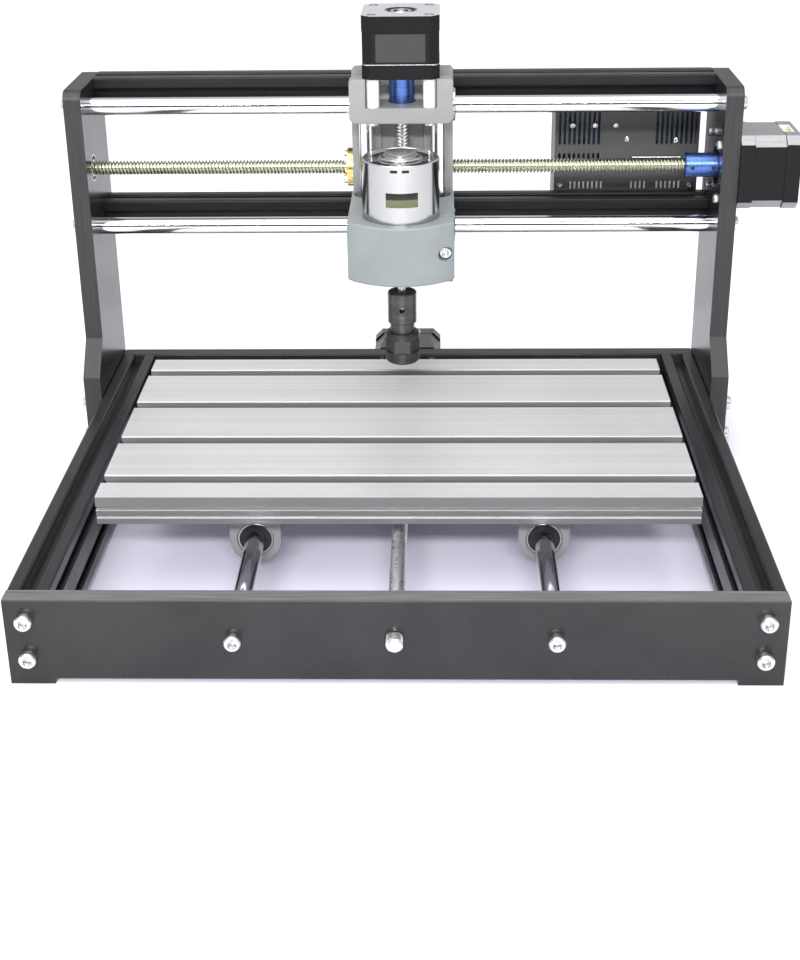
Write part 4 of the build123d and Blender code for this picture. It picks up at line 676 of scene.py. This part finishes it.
# ---------------------------------------------------------------- bearings
def ball_bushing(shape, local, outer, inner, length):
    """A linear ball bearing: grooved steel shell, black end seals, bore clear of the rod."""
    groove = outer - 0.45
    rim = outer - 1.15
    half = [
        (inner + 0.12, length / 2), (inner + 0.12, 0.9), (inner + 0.02, 0.55), (inner + 0.02, 0.35),
        (rim, 0.35), (rim, 0.0), (outer - 0.4, 0.0), (outer, 0.4), (outer, 3.5), (groove, 3.5),
        (groove, 4.6), (outer, 4.6), (outer, length / 2),
    ]
    tones = [0, 1, 1, 1, 0, 0, 0, 0, 0, 0, 0, 0]
    back = [(radius, length - height) for radius, height in reversed(half[:-1])]
    lathe(shape, local, half + back[:-1], steps=56, paint=tones + tones[::-1], loop=True)


# Shell radius, bore radius and length of the bushings on the 10 mm and on the 8 mm rods.
LARGE_BUSHING = (9.5, 5.05, 29.0)
SMALL_BUSHING = (7.5, 4.05, 24.0)


def end_places(node, axis):
    """Where the first and the last bushing of a node start along an axis."""
    low, high, _ = extent(node)
    return low[axis], high[axis] - LARGE_BUSHING[2]


shape = bmesh.new()
for rod in (extent("upper_x_rod")[2], extent("lower_x_rod")[2]):
    for x in end_places("x_linear_bearings", 0):
        ball_bushing(shape, facing(x, rod.y, rod.z, "+X"), *LARGE_BUSHING)
make_piece("x_ball_bushings", shape, "carriage", [ground, seal], ["x_linear_bearings"])

shape = bmesh.new()
for rod in (extent("left_y_rod")[2], extent("right_y_rod")[2]):
    for y in end_places("y_linear_bearings", 1):
        ball_bushing(shape, facing(rod.x, y, rod.z, "+Y"), *LARGE_BUSHING)
make_piece("y_ball_bushings", shape, "bed", [ground, seal], ["y_linear_bearings"])

z_bushings_low, _, z_bushings_middle = extent("z_linear_bearings")
Z_ROD_OUT = 20.0                  # from the head's middle to a Z rod
shape = bmesh.new()
for x in (-Z_ROD_OUT, Z_ROD_OUT):
    spot = facing(x, z_bushings_middle.y, z_bushings_low.z, "+Z")
    ball_bushing(shape, spot, *SMALL_BUSHING)
make_piece("z_ball_bushings", shape, "head", [ground, seal], ["z_linear_bearings"])

# Deep-groove bearings of the free screw ends: two rings with a recessed seal between them.
shape = bmesh.new()
race = [
    (4.05, 0.15), (4.2, 0.0), (5.0, 0.0), (5.1, 0.25), (7.0, 0.25), (7.1, 0.0), (7.85, 0.0), (8.0, 0.15),
    (8.0, 4.85), (7.85, 5.0), (7.1, 5.0), (7.0, 4.75), (5.1, 4.75), (5.0, 5.0), (4.2, 5.0), (4.05, 4.85),
]
race_tones = [0, 0, 0, 1, 0, 0, 0, 0, 0, 0, 0, 1, 0, 0, 0, 0]
race_low = extent("screw_end_bearings")[0]
for spot in (facing(Y_LINE.x, race_low.y, Y_LINE.z, "+Y"), facing(race_low.x, X_LINE.y, X_LINE.z, "+X")):
    lathe(shape, spot, race, steps=48, paint=race_tones, loop=True)
make_piece("screw_ball_bearings", shape, "frame", [ground, seal], ["screw_end_bearings"])

# ---------------------------------------------------------------- motor details
_, x_stack_high, x_stack = extent("x_motor_stator")
y_stack_low, _, y_stack = extent("y_motor_stator")
z_stack_low, _, z_stack = extent("z_motor_stator")
X_BACK = extent("x_motor_caps")[1].x
Y_BACK = extent("y_motor_caps")[1].y
Z_BACK = extent("z_motor_caps")[1].z
LABEL_RISE = 0.05                 # the X motor's label stands this far off its stack
Z_LABEL_RISE = 0.15               # the Z motor's label sits this far above the stack's middle
# Each motor's body, the frame on its rear face, the frame of its label, and the label's size.
motors = {
    "x": (
        "frame", facing(X_BACK, X_LINE.y, X_LINE.z, "+X"),
        facing(x_stack.x, x_stack_high.y + LABEL_RISE, x_stack.z, "+Y"), (12.5, 26.0),
    ),
    "y": (
        "frame", facing(Y_LINE.x, Y_BACK, Y_LINE.z, "+Y"),
        facing(y_stack_low.x, y_stack.y, y_stack.z, "-X"), (12.5, 26.0),
    ),
    "z": (
        "carriage", facing(Z_LINE.x, Z_LINE.y, Z_BACK, "+Z"),
        facing(z_stack.x, z_stack_low.y, z_stack.z + Z_LABEL_RISE, "-Y"), (27.0, 15.0),
    ),
}
SUNK = 0.8                        # depth of the screw seats and of the bearing seat in a rear cap
SHAFT_SUNK = 3.9                  # where the visible end of the shaft starts, below the rear face
case_screw = [
    (2.45, 0.0), (2.45, 0.35), (2.2, 0.6), (1.45, 0.6), (hexagon(1.25), 0.5), (hexagon(1.25), 0.12),
]
rear_bearing = [
    (4.3, 0.0), (4.3, 0.3), (4.5, 0.45), (5.6, 0.45), (5.8, 0.2), (7.9, 0.2), (8.1, 0.5), (8.85, 0.5),
    (8.9, 0.0),
]
shaft_end = [(2.45, 0.0), (2.45, 3.0), (2.1, 3.4), (0.6, 3.4), (0.3, 3.0)]
for key, (body, back, side, (wide, high)) in motors.items():
    # Case screws sunk in the rear cap, the rear bearing in its seat and the shaft's end.
    shape = bmesh.new()
    for first, second in MOTOR_SQUARE:
        lathe(shape, back @ Matrix.Translation((first, second, -SUNK)), case_screw, steps=36)
    seat = back @ Matrix.Translation((0, 0, -SUNK))
    lathe(shape, seat, rear_bearing, paint=[0, 0, 0, 0, 1, 1, 0, 0])
    lathe(shape, back @ Matrix.Translation((0, 0, -SHAFT_SUNK)), shaft_end, steps=32)
    make_piece(f"{key}_motor_rear_fittings", shape, body, [steel, seal])
    shape = bmesh.new()
    rounded_plate(shape, side, wide, high, 0.14, 0.9)
    make_piece(f"{key}_motor_label", shape, body, [label_grey])

# The Z motor's bare machined step between its front cap and its stack.
MOTOR_SIZE = 42.3
STEP_DROP = 0.15                  # how far the step starts below the stack's lower end
shape = bmesh.new()
step = facing(Z_LINE.x, Z_LINE.y, z_stack_low.z - STEP_DROP, "+Z")
rounded_plate(shape, step, MOTOR_SIZE, MOTOR_SIZE, 0.36, 4.4, steps=4, lip=0.1)
make_piece("z_motor_step", shape, "carriage", [bright_pin])

# ---------------------------------------------------------------- couplers' grub screws
GRUB_OUT = 6.0                    # from a coupler's middle to each of its two grub screws
grub = [
    (1.22, 4.05), (1.22, 6.1), (1.0, 6.35), (0.85, 6.35), (hexagon(0.65), 6.3), (hexagon(0.65), 5.2),
]
for index, (key, way) in enumerate({"x": "-Y", "y": "+X", "z": "-X"}.items()):
    shape = bmesh.new()
    for side in (-1, 1):
        place = extent(f"{key}_coupler")[2]
        place[index] += side * GRUB_OUT
        lathe(shape, facing(*place, way), grub, steps=24)
    make_piece(f"{key}_coupler_grub_screws", shape, f"{key}_screw", [dark_steel])


# ---------------------------------------------------------------- spindle motor details
def wrapped_plate(shape, local, radius, arc_deg, high, thick, steps=14):
    """A label bent round local z, centred on local -y, that stands on the radius."""
    rows = []
    for r, cut in ((radius, 0.0), (radius + thick * 0.7, 0.0), (radius + thick, 0.12)):
        loop_points = []
        half = math.radians(arc_deg) / 2 - cut / radius
        for z, order in ((-high / 2 + cut, range(steps + 1)), (high / 2 - cut, range(steps, -1, -1))):
            for index in order:
                turn = -math.pi / 2 - half + 2 * half * index / steps
                spot = Vector((r * math.cos(turn), r * math.sin(turn), z))
                loop_points.append(shape.verts.new(local @ spot))
        rows.append(loop_points)
    skin(shape, rows, closed=(False, False))
    outer = rows[-1]
    for index in range(steps):
        shape.faces.new((outer[index], outer[index + 1], outer[-2 - index], outer[-1 - index]))


def round_spindle(height, turn=0.0):
    """A local frame on the spindle's axis at a height, turned by an angle in degrees."""
    level = facing(SPINDLE_LINE.x, SPINDLE_LINE.y, height, "+Z")
    return level @ Matrix.Rotation(math.radians(turn), 4, "Z")


CAN_R = 21.0
LABEL_Z = 179.7
CRIMP_Z = 195.4
shape = bmesh.new()
wrapped_plate(shape, round_spindle(LABEL_Z, 3.0), CAN_R, 48.0, 7.8, 0.16)
make_piece("spindle_label", shape, "head", [label_olive])
# Two thin black patches just under the can's rim: painted shade of two small dents in it.
shape = bmesh.new()
for turn in (-8.5, 8.5):
    wrapped_plate(shape, round_spindle(CRIMP_Z, turn), CAN_R, 10.5, 1.5, 0.04, steps=6)
make_piece("spindle_crimps", shape, "head", [painted_hole_shade])

# The rolled rim of the can, the raised ring round its shaft and two screws in its lid.
LID_SCREW_OUT = 15.8              # from the spindle's axis
LID_SCREW_DEPTH = 0.62            # below the can's top
top = round_spindle(extent("spindle_can")[1].z)
rim = [(19.5, -0.5), (19.5, 0.25), (19.75, 0.5), (20.5, 0.5), (20.8, 0.2), (20.8, -0.5)]
collar = [(9.6, 0.0), (9.6, 0.95), (9.9, 1.2), (11.2, 1.2), (11.5, 0.9), (11.5, 0.0)]
lid_screw = [(1.9, 0.0), (1.9, 0.7), (1.5, 1.15), (1.0, 1.2), (0.9, 0.7)]
shape = bmesh.new()
lathe(shape, top, rim, steps=96, loop=True)
lathe(shape, top, collar, steps=80, loop=True)
for side in (-1, 1):
    spot = top @ Matrix.Translation((0, side * LID_SCREW_OUT, -LID_SCREW_DEPTH))
    lathe(shape, spot, lid_screw, steps=32)
make_piece("spindle_top_fittings", shape, "head", [lid])

# Four vents in the sunk lid, as thin black plates bent round the axis: painted shade where the openings
# are.
VENT_INNER, VENT_OUTER, VENT_HALF_DEG = 12.9, 17.6, 24
VENT_STEPS = 12
shape = bmesh.new()
for middle in (45, 135, 225, 315):
    rows = []
    for height in (-0.60, -0.54):
        line = []
        for radius, order in (
            (VENT_INNER, range(VENT_STEPS + 1)), (VENT_OUTER, range(VENT_STEPS, -1, -1)),
        ):
            for index in order:
                turn = math.radians(middle + VENT_HALF_DEG * (2 * index / VENT_STEPS - 1))
                spot = Vector((radius * math.cos(turn), radius * math.sin(turn), height))
                line.append(shape.verts.new(top @ spot))
        rows.append(line)
    skin(shape, rows)
make_piece("spindle_vents", shape, "head", [painted_hole_shade])

# ---------------------------------------------------------------- controller details
case_low, case_high, _ = extent("controller_case")
CASE_FACE = case_low.y
BOARD_GAP = 0.1                   # the stems and the strip end this far in front of the board
STEM_BACK = extent("controller_board")[0].y - BOARD_GAP
PIN_Z = 153.6
STRIP_X, STRIP_Z = 151.0, 170.5
UPPER_SCREWS_Z = 190.4
case_screw_places = [(x, UPPER_SCREWS_Z) for x in (100.2, 113.6, 126.0)]
case_screw_places += [(133.0, 181.8), (162.2, 181.0), (93.6, PIN_Z), (171.6, PIN_Z)]
small_screw = [
    (1.9, 0.0), (1.9, 0.5), (1.55, 1.1), (1.0, 1.3), (hexagon(0.8), 1.2), (hexagon(0.8), 0.6),
]
shape = bmesh.new()
for x, z in case_screw_places:
    lathe(shape, facing(x, CASE_FACE, z, "-Y"), small_screw, steps=24)
make_piece("case_small_screws", shape, "frame", [bright_pin])

# Rows of bright pins in the lower openings, level with the case's face, on stems from the board.
PIN_PITCH = 2.64
PIN_THICK = 0.9
STEM_LENGTH = 7.0
shape = bmesh.new()
for middle, count in ((109.2, 8), (140.6, 4), (158.6, 6)):
    for index in range(count):
        x = middle + (index - (count - 1) / 2) * PIN_PITCH
        head = facing(x, CASE_FACE + PIN_THICK, PIN_Z, "-Y")
        rounded_plate(shape, head, 1.0, 4.4, PIN_THICK, 0.35, steps=3, lip=0.2)
        stem = facing(x, STEM_BACK, PIN_Z, "-Y")
        rounded_plate(shape, stem, 0.6, 0.6, STEM_LENGTH, 0.2, steps=2, lip=0.1)
make_piece("case_pins", shape, "frame", [tinned])

# A metal strip in a slot of the case: its bright edge, and the web that carries it.
EDGE_BACK = 1.6                   # from the case's face to the back of the edge
WEB_LENGTH = 6.6
shape = bmesh.new()
edge = facing(STRIP_X, CASE_FACE + EDGE_BACK, STRIP_Z, "-Y")
rounded_plate(shape, edge, 29.6, 1.0, 1.1, 0.4, steps=3, lip=0.2)
web = facing(STRIP_X, STEM_BACK, STRIP_Z, "-Y")
rounded_plate(shape, web, 26.0, 0.8, WEB_LENGTH, 0.3, steps=2, lip=0.1)
make_piece("case_strip", shape, "frame", [bright_pin])

# Corner screws of the rear cover, whose heads start just inside its outer face.
CORNER_INSET = 5.0
HEAD_SINK = 0.2
COVER_SEAT = extent("controller_cover")[1].y - HEAD_SINK
corner_screw = [
    (2.2, 0.0), (2.2, 0.5), (1.8, 1.0), (1.2, 1.15), (hexagon(0.85), 1.1), (hexagon(0.85), 0.5),
]
shape = bmesh.new()
for x in (case_low.x + CORNER_INSET, case_high.x - CORNER_INSET):
    for z in (case_low.z + CORNER_INSET, case_high.z - CORNER_INSET):
        lathe(shape, facing(x, COVER_SEAT, z, "+Y"), corner_screw, steps=30)
make_piece("cover_screws", shape, "frame", [steel])

# ---------------------------------------------------------------- floor, lights, camera
FLOOR_SIDE, FLOOR_FRONT, FLOOR_BACK = 6, -4, 9
floor_outline = [
    (-FLOOR_SIDE, FLOOR_FRONT), (FLOOR_SIDE, FLOOR_FRONT),
    (FLOOR_SIDE, FLOOR_BACK), (-FLOOR_SIDE, FLOOR_BACK),
]
floor_mesh = bmesh.new()
floor_mesh.faces.new([floor_mesh.verts.new((x, y, 0)) for x, y in floor_outline])
mesh = bpy.data.meshes.new("floor")
floor_mesh.to_mesh(mesh)
floor_mesh.free()
floor = bpy.data.objects.new("floor", mesh)
scene.collection.objects.link(floor)
floor_look = Look("floor_pale", (0.93, 0.93, 0.96), roughness=0.6, Specular_IOR_Level=0.3)
floor_look.shader.inputs["Emission Color"].default_value = (0.80, 0.78, 1.0, 1.0)
floor_look.shader.inputs["Emission Strength"].default_value = 0.03
NEAR_R, FAR_R = 0.185, 0.24       # metres round the machine's middle: inside it the tone is lavender
around = floor_look.new("SeparateXYZ")
floor_look.feed(around.inputs[0], floor_look.turned_place("Z", (0, 0, 0)))
far = floor_look.remap(around.outputs["X"], NEAR_R, FAR_R, 0.0, 1.0)
near_tone = floor_look.mix(floor_look.noise(3.0), (0.85, 0.83, 0.965), (0.87, 0.85, 0.975))
far_tone = floor_look.mix(floor_look.noise(3.0), (0.93, 0.93, 0.96), (0.95, 0.95, 0.97))
floor_look.colour(floor_look.mix(far, near_tone, far_tone))
mesh.materials.append(floor_look.material)
floor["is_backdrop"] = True


def lamp(name, place, aim, wide, high, power, mirrored=True):
    """A rectangular lamp in metres and watts. One that isn't mirrored shows in no reflection."""
    data = bpy.data.lights.new(name, "AREA")
    data.shape = "RECTANGLE"
    data.size = wide
    data.size_y = high
    data.energy = power
    made = bpy.data.objects.new(name, data)
    made.location = place
    made.visible_glossy = mirrored
    made.rotation_mode = "QUATERNION"
    made.rotation_quaternion = (Vector(aim) - Vector(place)).to_track_quat("-Z", "Y")
    scene.collection.objects.link(made)


lamp("front", (-0.1, -1.88, 1.25), (0, -0.06, 0.0), 1.3, 0.14, 42.0)
lamp("low", (0.15, -1.95, 0.5), (0, 0, 0.15), 0.9, 0.25, 6.0, mirrored=False)
lamp("key", (-0.9, -1.5, 2.3), (0, 0, 0.08), 2.2, 1.6, 10.0)
lamp("fill", (1.6, -1.2, 1.9), (0, 0, 0.1), 1.8, 1.6, 6.0)
lamp("top", (0.0, -0.1, 2.2), (0, -0.1, 0.1), 1.6, 1.4, 10.0)

# A wide overhead sheet of light that keeps the floor evenly white far behind the machine.
sheet = bpy.data.lights.new("sheet", "SUN")
sheet.energy = 0.9
sheet.angle = math.radians(50)
sheet_light = bpy.data.objects.new("sheet", sheet)
sheet_light.rotation_euler = (math.radians(16), math.radians(-8), 0)
scene.collection.objects.link(sheet_light)

# A dark flag behind the camera and hidden from it, as in a photo studio, shapes the reflections
# in polished metal.
flag_mesh = bpy.data.meshes.new("studio_flag")
FLAG_HALF, FLAG_Y, FLAG_TOP = 2.2, -2.4, 1.5
flag_corners = [
    (-FLAG_HALF, FLAG_Y, 0.0), (FLAG_HALF, FLAG_Y, 0.0), (FLAG_HALF, FLAG_Y, FLAG_TOP),
    (-FLAG_HALF, FLAG_Y, FLAG_TOP),
]
flag_mesh.from_pydata(flag_corners, [], [(0, 1, 2, 3)])
flag = bpy.data.objects.new("studio_flag", flag_mesh)
scene.collection.objects.link(flag)
flag_look = Look("flag_cloth", (0.05, 0.05, 0.05), roughness=0.9)
flag_look.colour(flag_look.mix(flag_look.noise(40.0), (0.04, 0.04, 0.04), (0.07, 0.07, 0.07)))
flag_mesh.materials.append(flag_look.material)
flag.visible_camera = False
flag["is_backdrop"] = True

world = bpy.data.worlds.new("studio")
world.use_nodes = True
sky = world.node_tree.nodes["Background"]
sky.inputs["Color"].default_value = (0.95, 0.955, 1.0, 1.0)
sky.inputs["Strength"].default_value = 0.72
scene.world = world
scene.view_settings.view_transform = "Standard"

CAMERA_PLACE = (0.0071737, -0.7752369, 0.4104421)
# Angles in radians: yaw to the right, pitch up and roll round the line of sight.
yaw, pitch, roll = -0.026125255, -0.408520797, -0.012030815
forward = Vector((math.sin(yaw) * math.cos(pitch), math.cos(yaw) * math.cos(pitch), math.sin(pitch)))
right = Vector((math.cos(yaw), -math.sin(yaw), 0))
up = right.cross(forward)
tilted_right = right * math.cos(roll) + up * math.sin(roll)
tilted_up = up * math.cos(roll) - right * math.sin(roll)
camera_data = bpy.data.cameras.new("camera")
camera_data.sensor_width = 36.0
camera_data.lens = 57.902
camera_data.shift_x = -0.00439
camera_data.shift_y = -0.0903
camera_data.clip_start = 0.02
camera_data.clip_end = 50.0
camera = bpy.data.objects.new("camera", camera_data)
pose = Matrix((tilted_right, tilted_up, -forward)).transposed().to_4x4()
camera.matrix_world = Matrix.Translation(CAMERA_PLACE) @ pose
scene.collection.objects.link(camera)
scene.camera = camera

low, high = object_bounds()
